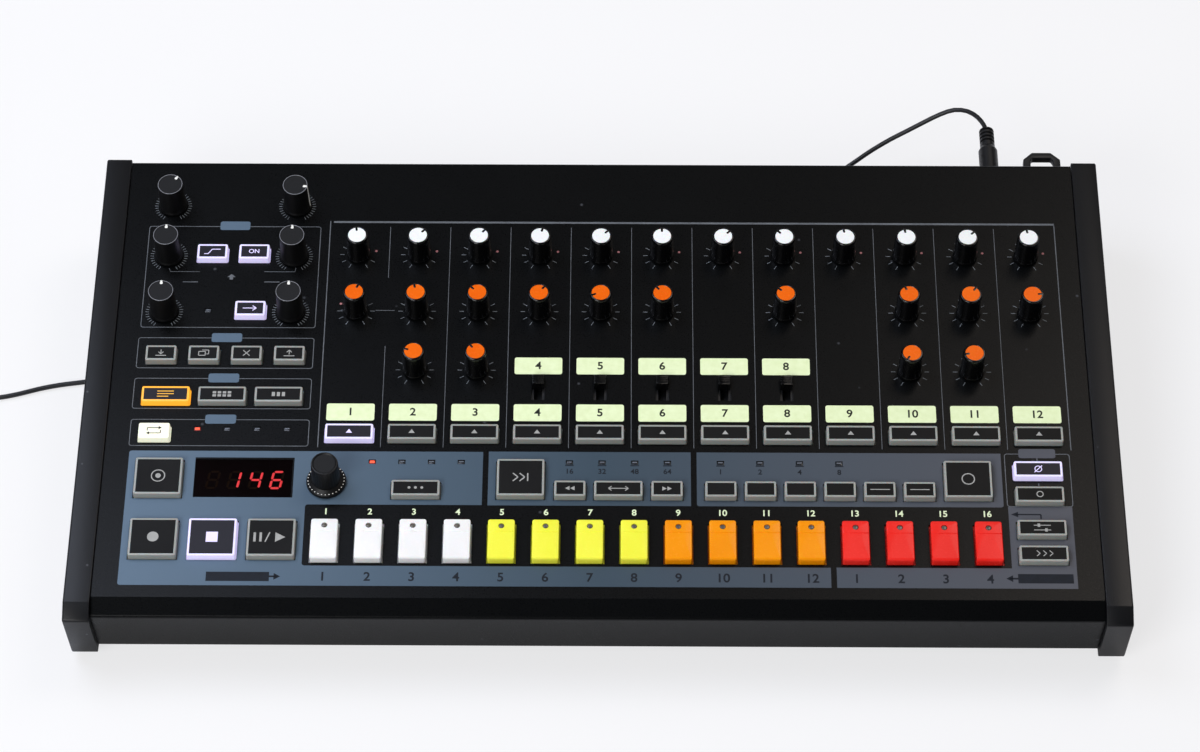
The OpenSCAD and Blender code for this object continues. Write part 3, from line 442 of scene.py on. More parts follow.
# powder-coated sheet steel: near black, satin, with the fine orange peel of a baked coat
powderCoat = mixFinish(
    "powderCoatedSteel", "#060708", 0.3, {"Specular IOR Level": 0.14},
    shade=(60, "#050607", "#070809"), grain=(0.55, 0.008, 0.04), dust=(9, 0.12, "#3c3e42"),
)
# moulded ABS with a spark-eroded texture: the end cheeks, a touch duller than the panel
cheekAbs = mixFinish(
    "texturedAbs", "#0a0b0d", 0.4, {"Specular IOR Level": 0.32},
    shade=(80, "#090a0d", "#0d0e11"), grain=(0.45, 0.03, 0.05), dust=(7, 0.2, "#4a4c50"),
)
# plain moulded ABS, satin: channel knobs, slide caps and the rocker
knobAbs = mixFinish("satinBlackAbs", "#060607", 0.17, grain=(0.35, 0.004, 0.03))
# a duller grade of it on the dial and the effect knobs: their sides show no hot spot
dullAbs = mixFinish(
    "dullBlackAbs", "#09090a", 0.45, {"Specular IOR Level": 0.35}, grain=(0.35, 0.008, 0.04)
)
# the bead on the effect knobs' outer edges, painted light grey as a highlight: it draws the thin light
# line of an edge catching the light
highlightBeadAbs = mixFinish("paintedHighlightBead", "#8a8c92", 0.25, grain=(0.3, 0.003, 0.03))
# the same ABS with a fine matt face, on top of the dial and the effect knobs
knobFace = mixFinish("mattBlackAbs", "#111214", 0.6, {"Specular IOR Level": 0.3}, grain=(0.3, 0.01, 0.04))
# moulded ABS of sockets, hook and adapter: a plain satin black
socketAbs = mixFinish("mouldedSocketAbs", "#141416", 0.45, grain=(0.4, 0.01, 0.04))
# moulded nitrile rubber feet: dull and slightly grey
footRubber = mixFinish("nitrileRubber", "#161616", 0.85, grain=(0.7, 0.04))
# blackened steel screws: a dark metal with a soft sheen
blackSteel = mixFinish("blackenedSteel", "#2a2b2e", 0.35, {"Metallic": 1.0}, grain=(0.3, 0.004, 0.08))
# nickel plating on the control bodies and the adapter's blades: bright and a little warm
nickelPlate = mixFinish("nickelPlate", "#b9b6ae", 0.22, {"Metallic": 1.0}, grain=(0.4, 0.003, 0.06))
# black-nickelled steel nuts: a dark metal that still shows its flats
nutSteel = mixFinish("blackNickelSteel", "#6c6d70", 0.28, {"Metallic": 1.0}, grain=(0.3, 0.003, 0.06))
# solder-masked circuit board: glossy green, seen only through slots
solderMask = mixFinish("greenSolderMask", "#12391f", 0.4, grain=(1.2, 0.01))


# silk-screen inks: matt, faintly uneven where the mesh laid them down
def screenInk(name, colour, low, high, roughness=0.55):
    return mixFinish(
        name, colour, roughness, {"Specular IOR Level": 0.25}, shade=(3, low, high), grain=(0.25, 0.004)
    )


inkLine = screenInk("greyScreenInk", "#63676c", "#5d6166", "#696d72")
inkTick = screenInk("paleGreyScreenInk", "#848a90", "#7e848a", "#8a9096")
inkDark = screenInk("navyScreenInk", "#0f1620", "#0d131c", "#121a26")
inkPale = screenInk("paleGreenScreenInk", "#e2f0c8", "#dcebc2", "#e7f4ce")
inkTag = screenInk("limeCreamScreenInk", "#e9f7c4", "#e4f2be", "#edfacb", 0.45)
inkBlack = screenInk("blackScreenInk", "#1d2118", "#1a1e16", "#24281e")
inkRed = screenInk("roseScreenInk", "#a86e70", "#9e6466", "#b2787a")
iconGrey = screenInk("warmGreyIconInk", "#a3a3a0", "#9c9c99", "#aaaaa7")
iconDark = screenInk("charcoalIconInk", "#3a3d35", "#34372f", "#40433b")
pointerWhite = screenInk("whitePointerInk", "#f0efe8", "#ebeae3", "#f5f4ee")

# slate ink with painted light and shade: its colour runs along the panel from a lighter, bluer left end
# over a middle darkened as painted shade to a greyer right that is lighter again
slatePaintedLight = {"ends": (-0.22, 0.22), "left": "#596e82", "middle": "#354755", "right": "#4f5159"}


def slateInk():
    material, tree, shader, place = startMaterial(
        "slateInkPaintedLight", slatePaintedLight["middle"], 0.5, {"Specular IOR Level": 0.3}
    )
    # the run along the panel is painted light: lighter towards the ends where the lamps fall, painted
    # shade in the middle
    apart = addNode(tree, "ShaderNodeSeparateXYZ", None, {"Vector": place})
    across = addNode(
        tree, "ShaderNodeMapRange", {"From Min": slatePaintedLight["ends"][0], "From Max": slatePaintedLight["ends"][1]},
        {"Value": apart.outputs["X"]},
    )
    run = addNode(tree, "ShaderNodeValToRGB", None, {"Fac": across.outputs["Result"]})
    run.color_ramp.elements[0].color = linear(slatePaintedLight["left"])
    run.color_ramp.elements[1].color = linear(slatePaintedLight["right"])
    run.color_ramp.elements.new(0.5).color = linear(slatePaintedLight["middle"])
    tree.links.new(run.outputs["Color"], shader.inputs["Base Color"])
    addGrain(tree, shader, place, 0.25, 0.004)
    return material


inkSlate = slateInk()


# moulded milky polycarbonate caps: light scatters a little way in, and a lit one glows through
def milkyCap(name, colour, glow=None):
    scatter = {"Subsurface Weight": 0.25, "Subsurface Scale": 0.002}
    return mixFinish(name, colour, 0.34, scatter, grain=(0.3, 0.006, 0.04), glow=glow)


capGrey = milkyCap("milkyPolycarbonate", "#9b9d98")
capLit = milkyCap("litPolycarbonate", "#c6c3da", ("#d5ccfb", 0.56))
capAmber = milkyCap("amberLitPolycarbonate", "#c08a30", ("#ffae2c", 0.85))
capCream = milkyCap("creamLitPolycarbonate", "#d6d8c0", ("#f0f2dc", 0.55))

# printed polyester film on the button tops: dark and satin, and a lit one lets a little light through
plateFilm = mixFinish(
    "satinOverlayFilm", "#111111", 0.5, {"Specular IOR Level": 0.15},
    shade=(20, "#101010", "#151515"), grain=(0.3, 0.006, 0.04),
)
plateLit = mixFinish(
    "litOverlayFilm", "#121118", 0.45, {"Specular IOR Level": 0.3},
    grain=(0.3, 0.006), glow=("#2a2440", 0.12),
)


# clear windows and epoxy with a light behind them: they glow in their own colour
def glowing(name, colour, glow, strength):
    return mixFinish(name, colour, 0.4, grain=(0.3, 0.004), glow=(glow, strength))


iconLit = glowing("litIconFilm", "#c4bde0", "#d2c8f6", 0.55)
iconAmber = glowing("amberIconFilm", "#c8922c", "#ffbe34", 0.6)
lensRed = glowing("redAcrylicPipe", "#5a1610", "#8a1c10", 0.3)
lightRed = glowing("litRedEpoxy", "#c83a24", "#ff5a34", 1.0)
segmentLit = glowing("litRedSegmentFilm", "#8c0c0c", "#e01014", 0.66)


# glossy moulded ABS of keys and inlays: deep even colour, clear reflections
def keyPlastic(name, colour, low, high):
    scatter = {"Subsurface Weight": 0.12, "Subsurface Scale": 0.002, "Specular IOR Level": 0.17}
    return mixFinish(name, colour, 0.26, scatter, shade=(25, low, high), grain=(1.5, 0.01, 0.03))


keyPaints = [
    keyPlastic("whiteKeyAbs", "#f2f1ef", "#efeeec", "#f6f5f3"),
    keyPlastic("yellowKeyAbs", "#f7f548", "#f3f140", "#faf850"),
    keyPlastic("orangeKeyAbs", "#f99604", "#f49002", "#fd9c0a"),
    keyPlastic("redKeyAbs", "#f02a22", "#ea241c", "#f4322a"),
]
inlayWhite = keyPlastic("whiteInlayAbs", "#f4f4f2", "#f1f1ef", "#f7f7f5")
inlayOrange = keyPlastic("orangeInlayAbs", "#f06706", "#ec6102", "#f56d0c")

# cast smoked acrylic: black gloss, with segments that show on its face
smokedLens = mixFinish(
    "smokedAcrylic", "#050203", 0.08, {"Specular IOR Level": 0.2}, shade=(15, "#050202", "#080304")
)
segmentOff = mixFinish(
    "unlitSegmentFilm", "#150d09", 0.8, {"Specular IOR Level": 0.0}, shade=(3, "#130b08", "#170f0a")
)
# moulded acrylic light pipes: a dark glossy face with a clearer edge in it
lensDark = mixFinish("smokedAcrylicPipe", "#1e2126", 0.2, grain=(0.5, 0.004))
lensGrey = mixFinish("clearAcrylicEdge", "#6a707a", 0.25, grain=(0.5, 0.004))
# cast epoxy: the lens in a key and the diode's dome under it, glossy and cloudy
keyLens = mixFinish("greyEpoxyLens", "#5a554e", 0.15, shade=(2, "#4a4640", "#6c675f"))
ledDome = mixFinish("clearEpoxyDome", "#55504c", 0.12, shade=(2, "#3a3532", "#7a746e"))
print("finishes mixed")

# CAD pieces that keep their shape
plain = {
    "top_panel": powderCoat,
    "rear_panel": powderCoat,
    "base_pan": powderCoat,
    "rubber_feet": footRubber,
    "case_screws": blackSteel,
    "main_board": solderMask,
    "panel_board": solderMask,
    "pot_bodies": nickelPlate,
    "switch_bodies": socketAbs,
    "display_window": smokedLens,
    "display_module": socketAbs,
    "rear_sockets": socketAbs,
    "wall_adapter": socketAbs,
    "dc_plug": softPvc,
}
for node, material in plain.items():
    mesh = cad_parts[node].data
    mesh.materials.clear()
    mesh.materials.append(material)

# the adapter's blades are its leftmost part, and the jacks' nuts have their faces at these distances
# behind the rear panel
metalParts = {"bladeReach": 16.5, "nutLevels": (0, 1, 2), "slack": 0.1}
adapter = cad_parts["wall_adapter"].data
adapterLeft = min(v.co.x for v in adapter.vertices)
rearFace = max(v.co.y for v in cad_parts["rear_panel"].data.vertices)


def onBlade(spot):
    return int(spot.x < adapterLeft + metalParts["bladeReach"] * mm)


def onNut(spot):
    out = (spot.y - rearFace) / mm
    return int(any(abs(out - level) < metalParts["slack"] for level in metalParts["nutLevels"]))


def paintFaces(mesh, pick):
    mesh.polygons.foreach_set("material_index", [pick(face.center) for face in mesh.polygons])


adapter.materials.append(nickelPlate)
paintFaces(adapter, onBlade)


# a CAD piece with its edges softened: the copy is merged, and a bevel rounds what is sharp
def softened(node, name, body, materials, edge, pick=None):
    bm = bmesh.new()
    bm.from_mesh(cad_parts[node].data)
    bmesh.ops.remove_doubles(bm, verts=bm.verts, dist=1e-6)
    bmesh.ops.dissolve_limit(bm, angle_limit=math.radians(1), verts=bm.verts, edges=bm.edges)
    mesh = bpy.data.meshes.new(name)
    bm.to_mesh(mesh)
    bm.free()
    obj = linkPiece(mesh, name, body, materials, 0)
    if pick:
        paintFaces(mesh, pick)
    bevel = obj.modifiers.new("softEdges", "BEVEL")
    bevel.width = edge * mm
    bevel.segments = 3
    bevel.limit_method = "ANGLE"
    bevel.angle_limit = math.radians(30)
    bevel.harden_normals = True
    bevel.miter_outer = "MITER_ARC"
    mesh.polygons.foreach_set("use_smooth", [True] * len(mesh.polygons))
    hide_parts(node)


softened("left_cheek", "cheekLeft", "case", [cheekAbs], 0.35)
softened("right_cheek", "cheekRight", "case", [cheekAbs], 0.35)
softened("cord_hook", "cordHook", "case", [socketAbs], 0.5)
softened("slide_caps", "slideCaps", "slide_caps", [knobAbs], 0.15)
softened("power_rocker", "rockerCap", "power_rocker", [knobAbs], 0.3)
softened("phone_jacks", "phoneJacks", "case", [socketAbs, nutSteel], 0.15, onNut)
print("case pieces done")

# where the controls are, in millimetres along the panel and up its slope
channel = {"first": -119.2, "pitch": 29.9, "count": 12, "selectV": 94}
knobRows = {  # height up the panel, and the channels that have a knob there
    "level": (200.4, range(12)),
    "tune": (166.3, (0, 1, 2, 3, 4, 5, 7, 9, 10, 11)),
    "tone": (131.6, (1, 2, 9, 10)),
}
effectAt = [(u, v) for v in (229.8, 199, 165.3) for u in (-212.8, -151)]
dialAt = (-128.8, 66.8)
keyRow = {"first": -128.3, "pitch": 20.74, "count": 16, "v": 33.6, "width": 13.2, "depth": 21.7}
stripV = 62.3
stepPitch = 18.76


def spotRow(first, pitch, v, count):
    return [(first + i * pitch, v) for i in range(count)]


def channelU(i):
    return channel["first"] + i * channel["pitch"]


keysAt = spotRow(keyRow["first"], keyRow["pitch"], keyRow["v"], keyRow["count"])
buttonSize = {"select": (23.3, 9.1), "square": (22.9, 20.9), "narrow": (15.2, 9.1), "wide": (23.3, 9.1)}
buttonsAt = {
    "select": spotRow(channel["first"], channel["pitch"], channel["selectV"], channel["count"]),
    "square": [(-208.4, 68.4)] + spotRow(-208.4, 27.65, 34.5, 3) + [(-36.9, 68.4), (174.7, 68.4)],
    "narrow": (
        [(-191.2, 199.8), (-170.6, 199.8), (-170.6, 165.6)] + spotRow(-212.2, 20.7, 139, 4)
        + [(-212.3, channel["selectV"]), (-13.5, stripV), (32.4, stripV)]
        + spotRow(57.8, stepPitch, stripV, 6)
    ),
    "wide": (
        spotRow(-208.3, 27.15, 115.1, 3) + [(-86.4, stripV), (9.4, stripV)]
        + [(208.1, v) for v in (74.2, 60.1, 41.5, 27.4)]
    ),
}
lightsAt = {
    "part": spotRow(-107.6, 14.1, 78.7, 4),
    "length": spotRow(-13.9, 15.5, 78.7, 4),
    "scale": spotRow(57.8, stepPitch, 78.7, 4),
    "sync": spotRow(-192, 14.3, 97.1, 4),
    "effect": [(-191.4, knobRows["tune"][0])],
}
lightSize = (3, 2)


# the corners of a box round a middle, left, low, right and high
def boxRound(centre, size, grow=0.0):
    return (
        centre[0] - size[0] / 2 - grow, centre[1] - size[1] / 2 - grow,
        centre[0] + size[0] / 2 + grow, centre[1] + size[1] / 2 + grow,
    )


# what the print stays clear of: buttons, lights, the window and the dial's bush
clear = {
    "button": 0.35,
    "light": 0.25,
    "windowAt": (-168.1, 69.6),
    "window": (47.1, 22.4),
    "dial": (7.6, 7.6),
}
panelHoles = (
    [boxRound(p, buttonSize[kind], clear["button"]) for kind, spots in buttonsAt.items() for p in spots]
    + [boxRound(p, lightSize, clear["light"]) for spots in lightsAt.values() for p in spots]
    + [boxRound(clear["windowAt"], clear["window"]), boxRound(dialAt, clear["dial"])]
)

# screen print, as thin raised ink
ink = {"thick": 0.05, "line": 0.45, "thin": 0.27, "ring": 0.35, "fieldCorner": 1.2, "ringCorner": 1.4}


def flatSheet(box, low=0.0):
    bm = bmesh.new()
    bmesh.ops.create_grid(
        bm, x_segments=1, y_segments=1, size=0.5,
        matrix=Matrix.Translation(((box[0] + box[2]) / 2, (box[1] + box[3]) / 2, low))
        @ Matrix.Diagonal((box[2] - box[0], box[3] - box[1], 1, 1)),
    )
    return bm


def roundCorners(bm, corners, radius, steps):
    bmesh.ops.bevel(
        bm, geom=corners, offset=radius, segments=steps, profile=0.5, affect="VERTICES", material=-1
    )


# a printed field: one sheet cut along the edges of its openings, with the openings taken out
def printedField(box, openings):
    bm = flatSheet(box)
    inside = [o for o in openings if o[2] > box[0] and o[0] < box[2] and o[3] > box[1] and o[1] < box[3]]
    for u in sorted({o[k] for o in inside for k in (0, 2)}):
        cutAcross(bm, (u, 0, 0), (1, 0, 0))
    for v in sorted({o[k] for o in inside for k in (1, 3)}):
        cutAcross(bm, (0, v, 0), (0, 1, 0))
    gone = []
    for face in bm.faces:
        c = face.calc_center_median()
        if any(o[0] < c.x < o[2] and o[1] < c.y < o[3] for o in inside):
            gone.append(face)
    bmesh.ops.delete(bm, geom=gone, context="FACES")
    bmesh.ops.dissolve_limit(bm, angle_limit=0.01, verts=bm.verts, edges=bm.edges)
    ends = [v for v in bm.verts if v.co.x in (box[0], box[2]) and v.co.y in (box[1], box[3])]
    roundCorners(bm, ends, ink["fieldCorner"], 4)
    raiseFaces(bm, bm.faces[:], (0, 0, ink["thick"]))
    return bm


# outline of a box, printed as one ring with round corners
def printedRing(box, width, corner, low=0.0):
    bm = flatSheet(box, low)
    roundCorners(bm, bm.verts[:], corner, 5)
    middle = bm.faces[:]
    bmesh.ops.inset_region(bm, faces=middle, thickness=width, use_even_offset=True, use_boundary=True)
    bmesh.ops.delete(bm, geom=middle, context="FACES")
    raiseFaces(bm, bm.faces[:], (0, 0, ink["thick"]))
    return bm


def printed(outline, low=0.0):
    return slab(outline, low, low + ink["thick"])


# a line from point to point, each length of it with square ends
def strokes(bm, points, width, low=0.0):
    for a, b in zip(points, points[1:]):
        a, b = Vector(a), Vector(b)
        side = Vector((-(b - a).y, (b - a).x)).normalized() * width / 2
        stamp(bm, printed([a - side, b - side, b + side, a + side], low))


def words(text, size, centre, low=0.0, bold=0.0):
    curve = bpy.data.curves.new("print", "FONT")
    curve.body = text
    curve.size = size
    curve.align_x = "CENTER"
    curve.align_y = "CENTER"
    curve.offset = bold
    curve.extrude = ink["thick"] / 2
    obj = addObject("print", curve)
    bpy.context.view_layer.update()
    mesh = bpy.data.meshes.new_from_object(obj.evaluated_get(bpy.context.evaluated_depsgraph_get()))
    bpy.data.objects.remove(obj)
    bm = bmesh.new()
    bm.from_mesh(mesh)
    bpy.data.meshes.remove(mesh)
    bpy.data.curves.remove(curve)
    bmesh.ops.remove_doubles(bm, verts=bm.verts, dist=1e-5)
    bmesh.ops.translate(bm, vec=(centre[0], centre[1], low + ink["thick"] / 2), verts=bm.verts)
    return bm


def printPiece(bm, name, material):
    makePiece(bm, name, "case", [material], 0)


keyBed = {"left": -138.3, "low": 20.9, "high": 54.6, "corner": 1.4}
fields = [  # each slate field, and the parts of it that stay bare
    (
        (-223.5, 10, 108.6, 84.5),
        [(keyBed["left"], keyBed["low"], 109, keyBed["high"]), (-55, 54, 109, 85)],
    ),
    ((-52.3, 54.5, 43.7, 84.7), []),
    ((46.5, 54.5, 191, 84.7), []),
    ((111.3, 10, 223.2, 54.8), [(111, 21, 193, 55)]),
]


def printFields():
    bm = bmesh.new()
    for box, bare in fields:
        stamp(bm, printedField(box, panelHoles + bare))
    # round inner corners at the left end of the bed that the keys lie in
    left, r = keyBed["left"], keyBed["corner"]
    for v, way in ((keyBed["low"], 1), (keyBed["high"], -1)):
        arc = [
            (left + r * (1 - math.sin(a)), v + way * r * (1 - math.cos(a)))
            for a in (math.radians(d) for d in range(0, 91, 15))
        ]
        stamp(bm, printed([(left, v)] + arc))
    printPiece(bm, "slateFields", inkSlate)


# boxes round groups of controls, each with a tag on its upper edge
sections = {
    "effects": {"box": (-223.8, 156, -138.5, 217.4), "tagAt": (-181.2, 217.7), "tag": (14.8, 5.2)},
    "edit": {"box": (-224.2, 132, -138.6, 150.1), "tagAt": (-181.2, 150.1), "tag": (14.8, 5.2)},
    "mode": {"box": (-224.3, 108.5, -138.6, 126.3), "tagAt": (-181.2, 126.4), "tag": (14.8, 5.2)},
    "sync": {"box": (-224.2, 87.2, -138.5, 102.5), "tagAt": (-181.2, 102.6), "tag": (14.8, 5.2)},
    "track": {"box": (192.6, 54.9, 223.8, 84.7), "tagAt": (208.3, 84.8), "tag": (17.5, 5.2)},
}
channelFrame = {
    "left": -134, "right": 224.7, "top": 220.3, "low": 86.8,
    "topWidth": 1.1, "topFrom": 1.6, "cornerStep": 0.6,
}
dividers = {
    "first": -104.1, "pitch": 29.87, "count": 11,
    "low": 87, "high": 217.4, "firstGap": (145.5, 186.3),
}
thinLines = [  # from knobs and switches to what they belong to
    [(-109.6, 166.7), (-100.3, 166.7)],
    [(-212.2, 191.6), (-211.5, 189.6), (-197, 189.6)],
    [(-165.3, 189.7), (-150.2, 189.7), (-149.9, 192)],
]
shortBars = [
    [(-205, 183.4), (-197.6, 183.4)], [(-165, 183.5), (-157.5, 183.5)],
    [(208.2, 80), (208.2, 82.2)], [(208.2, 66.4), (208.2, 68)],
]
upArrow = [
    [(-183.3, 186.4), (-179.2, 186.4), (-181.25, 188.2)],
    [(-182.1, 184.9), (-180.4, 184.9), (-180.4, 186.4), (-182.1, 186.4)],
]


def printLines():
    bm = bmesh.new()
    for section in sections.values():
        stamp(bm, printedRing(section["box"], ink["ring"], ink["ringCorner"]))
    f = channelFrame
    left, right, top, step = f["left"], f["right"], f["top"], f["cornerStep"]
    strokes(bm, [(left, f["low"]), (left, top + step)], ink["line"])
    strokes(bm, [(left + f["topFrom"], top), (right, top)], f["topWidth"])
    strokes(bm, [(right, f["low"]), (right, top - step)], ink["line"])
    low, high = dividers["low"], dividers["high"]
    gapLow, gapHigh = dividers["firstGap"]
    for i in range(dividers["count"]):
        u = dividers["first"] + i * dividers["pitch"]
        for start, end in [(low, gapLow), (gapHigh, high)] if i == 0 else [(low, high)]:
            strokes(bm, [(u, start), (u, end)], ink["thin"])
    for line in thinLines:
        strokes(bm, line, ink["thin"])
    for line in shortBars:
        strokes(bm, line, ink["line"])
    for outline in upArrow:
        stamp(bm, printed(outline))
    printPiece(bm, "greyLines", inkLine)


# inner and outer end of the marks round a knob, and the degrees between them
scales = {"channel": (7.0, 9.2, 30), "effect": (7.5, 9.2, 10), "sweep": 150, "width": 0.2}
scaleGaps = {"level": (60, 90), "tune": (), "tone": (), "firstTune": (-60,)}


def scaleMarks(bm, centre, kind, skip=()):
    inner, outer, step = scales[kind]
    for angle in range(-scales["sweep"], scales["sweep"] + 1, step):
        if angle not in skip:
            a = math.radians(angle)
            way, spot = Vector((math.sin(a), math.cos(a))), Vector(centre)
            strokes(bm, [spot + way * inner, spot + way * outer], scales["width"])


def printScales():
    bm = bmesh.new()
    for row, (v, channels) in knobRows.items():
        for i in channels:
            gaps = scaleGaps["firstTune" if row == "tune" and i == 0 else row]
            scaleMarks(bm, (channelU(i), v), "channel", gaps)
    for spot in effectAt:
        scaleMarks(bm, spot, "effect")
    printPiece(bm, "scaleTicks", inkTick)


tag = {"size": (23, 9.7), "corner": 1.0, "text": 6.0, "bold": 0.12, "headingCorner": 1.1}
tagRows = {107: range(12), 134.2: range(3, 8)}  # height up the panel, and the channels with a tag there


def printTags():
    high = 2 * ink["thick"]
    bm = bmesh.new()
    for section in sections.values():
        stamp(bm, roundedBlock(*section["tag"], 0, high, tag["headingCorner"]), at(*section["tagAt"]))
    printPiece(bm, "headingTags", inkSlate)
    bm, marks = bmesh.new(), bmesh.new()
    for v, channels in tagRows.items():
        for i in channels:
            stamp(bm, roundedBlock(*tag["size"], 0, high, tag["corner"]), at(channelU(i), v))
            stamp(marks, words(str(i + 1), tag["text"], (channelU(i), v), high, tag["bold"]))
    printPiece(bm, "channelTags", inkTag)
    printPiece(marks, "channelNumbers", inkBlack)


# numbers by row: height up the panel, size of the type and how much bolder it is
numberRows = {"below": (14.8, 6.6, 0.12), "lights": (73.6, 3.9, 0.07), "above": (50.6, 4.6, 0.1)}
lightTexts = {"length": ("16", "32", "48", "64"), "scale": ("1", "2", "4", "8")}
lightBar = {"size": (4.2, 0.5), "corner": 0.2, "down": 1.7}
arrows = [  # a bar where it has one, the shaft with its width, and the head
    {
        "bar": (-182.6, 12.3, -153.1, 17.3),
        "shaft": [(-153.1, 14.9), (-149.5, 14.9)], "width": 0.9,
        "head": [(-151, 13.1), (-147.9, 14.9), (-151, 16.7)],
    },
    {
        "bar": (195.6, 12.9, 221.4, 17.9),
        "shaft": [(191.6, 15.4), (195.6, 15.4)], "width": 0.9,
        "head": [(190.1, 15.4), (193.2, 13.6), (193.2, 17.2)],
    },
    {
        "shaft": [(208.2, 48.2), (208.2, 50.6), (196.5, 50.6)], "width": 0.7,
        "head": [(194.2, 50.6), (197.5, 49.1), (197.5, 52.1)],
    },
]


def corners(box):
    return [(box[0], box[1]), (box[2], box[1]), (box[2], box[3]), (box[0], box[3])]


def printNumbers():
    dark, pale = bmesh.new(), bmesh.new()
    low = ink["thick"]  # on top of the slate field
    v, size, bold = numberRows["below"]
    for i, spot in enumerate(keysAt):
        stamp(dark, words(str(i % 12 + 1), size, (spot[0], v), low, bold))
    v, size, bold = numberRows["lights"]
    for row, texts in lightTexts.items():
        for text, spot in zip(texts, lightsAt[row]):
            stamp(dark, words(text, size, (spot[0], v), low, bold))
    for arrow in arrows:
        if "bar" in arrow:
            stamp(dark, printed(corners(arrow["bar"]), low))
        strokes(dark, arrow["shaft"], arrow["width"], low)
        stamp(dark, printed(arrow["head"], low))
    for u, v in lightsAt["length"] + lightsAt["scale"]:
        bar = roundedBlock(*lightBar["size"], low, 2 * low, lightBar["corner"])
        stamp(dark, bar, at(u, v - lightBar["down"]))
    printPiece(dark, "navyPrint", inkDark)
    v, size, bold = numberRows["above"]
    for i, spot in enumerate(keysAt):
        stamp(pale, words(str(i + 1), size, (spot[0], v), 0, bold))
    printPiece(pale, "stepNumbers", inkPale)


redDot = {"radius": 0.62, "out": 8.8, "turn": 76, "tuneShift": (-7.5, 4.3)}


# a dot on each level knob's scale, and one by the first tune knob
def printRedMarks():
    a = math.radians(redDot["turn"])
    spots = [
        (channelU(i) + redDot["out"] * math.sin(a), knobRows["level"][0] + redDot["out"] * math.cos(a))
        for i in range(channel["count"])
    ]
    shift = redDot["tuneShift"]
    spots.append((channelU(0) + shift[0], knobRows["tune"][0] + shift[1]))
    bm = bmesh.new()
    for spot in spots:
        stamp(bm, disc(redDot["radius"], 0, ink["thick"], 16), at(*spot))
    printPiece(bm, "redMarks", inkRed)


printFields()
printLines()
printScales()
printTags()
printNumbers()
printRedMarks()
print("panel printed")

knobShape = {
    "channel": {
        "base": 12, "top": 10.9, "height": 16.5,
        "shoulder": (0.65, 1.3),  # width and height of the round at the top's edge
        "seat": (4.39, 1.0),  # radius and depth of the recess in the top
        "inlay": [(0, -0.98), (4.3, -0.98), (4.35, -0.9), (4.35, -0.07), (4.28, 0), (0, 0)],
    },
    "effect": {
        "base": 13.6, "top": 12.2, "height": 18,
        "shoulder": (0.3, 0.4),
        "seat": (5.5, 0.2),
        "face": (0.62, -0.24, -0.17),  # in from the edge, and its low and high side
        "bead": (0.22, -0.03, 0.16),  # in from the edge, its height and its size
    },
    # blocks on the top: width, depth, low and high side, corner, and how far in from the edge
    "tongue": (1.1, 2.7, -1.0, 0.08, 0.5, 1.75),
    "tongueSoft": 0.06,
    "pointer": [(1.3, 1.3, -0.3, -0.1, 0.3, 1.45), (1.0, 0.92, -0.5, 0.03, 0.1, 0.46)],
    "sideLine": {"width": 0.75, "thick": 0.3, "out": 0.56, "from": 2.6, "short": 3.6, "corner": 0.1},
    "foot": [(0.2, 1.35), (0.05, 1.15), (0, 0.95), (0, 0.15), (0.15, 0)],  # in from the side and up
    "seatSoft": (0.04, 0.06),  # at the recess's foot and at its lip
    "lift": 0.8,  # gap between the panel and a knob
    "shaft": 6,
    "shaftFoot": -12.7,
}
# degrees clockwise that each pointer has turned from straight up
knobTurn = {
    "level": [-6, 44, 40, 16, 49, -2, 47, -44, -10, -10, 47, -11],
    "tune": [26, -11, -46, 38, -110, -40, -51, -26, 35, 90],
    "tone": [-75, -37, -150, -100],
    "effect": [36, 100, 0, 0, 0, 0],
}


def knobBody(k):
    r, t, h, lift = k["base"] / 2, k["top"] / 2, k["height"], knobShape["lift"]
    shaft, foot = knobShape["shaft"] / 2, knobShape["shaftFoot"]
    wide, deep = k["shoulder"]
    seat, sink = k["seat"]
    floor = h - sink
    soft, lip = knobShape["seatSoft"]
    shoulder = [
        (t - wide * (1 - math.sin(a)), h - deep * (1 - math.cos(a)))
        for a in (math.radians(d) for d in (20, 40, 60, 78))
    ]
    return turned(
        [(0, floor), (seat - soft, floor), (seat, floor + soft), (seat, h - lip), (seat + lip, h)]
        + [(max(seat + 0.08, t - wide), h)] + [p for p in shoulder if p[0] > seat + 0.1] + [(t, h - deep)]
        + [(r - inward, lift + up) for inward, up in knobShape["foot"]]
        + [(shaft + 0.3, lift), (shaft, lift - 0.3), (shaft, foot), (0, foot)]
    )


# thin ring that stands a little out of an edge
def bead(radius, height, size):
    low, high = height - size, height + size * 0.7
    line = [(radius, low), (radius + size, height), (radius, high), (radius - size, height)]
    return turned(line, closed=True)


def topBlock(whole, k, block, soft=0.0):
    width, depth, low, high, corner, inward = block
    shape = roundedBlock(width, depth, k["height"] + low, k["height"] + high, corner, soft)
    stamp(whole, shape, at(0, k["top"] / 2 - inward))


# channel knobs: a coloured inlay with a black tongue across its edge
def dressChannelKnob(body, mark, k):
    topBlock(body, k, knobShape["tongue"], knobShape["tongueSoft"])
    stamp(mark, turned([(r, k["height"] + z) for r, z in k["inlay"]]))


# effect knobs: a matt face inside a bead painted light as a highlight, and a white pointer over the top
# and down the side
def dressEffectKnob(body, mark, k):
    h, t = k["height"], k["top"] / 2
    inward, low, high = k["face"]
    stamp(body, disc(t - inward, h + low, h + high, 64), paint=1)
    # the bead is painted light grey: a painted highlight along the knob's edge
    inward, level, size = k["bead"]
    stamp(body, bead(t - inward, h + level, size), paint=2)
    for block in knobShape["pointer"]:
        topBlock(mark, k, block)
    line = knobShape["sideLine"]
    lean = Matrix.Rotation(math.atan2((k["base"] - k["top"]) / 2, h), 4, "X")
    shape = roundedBlock(line["width"], line["thick"], 0, h - line["short"], line["corner"])
    stamp(mark, shape, at(0, t + line["out"], line["from"]) @ lean)


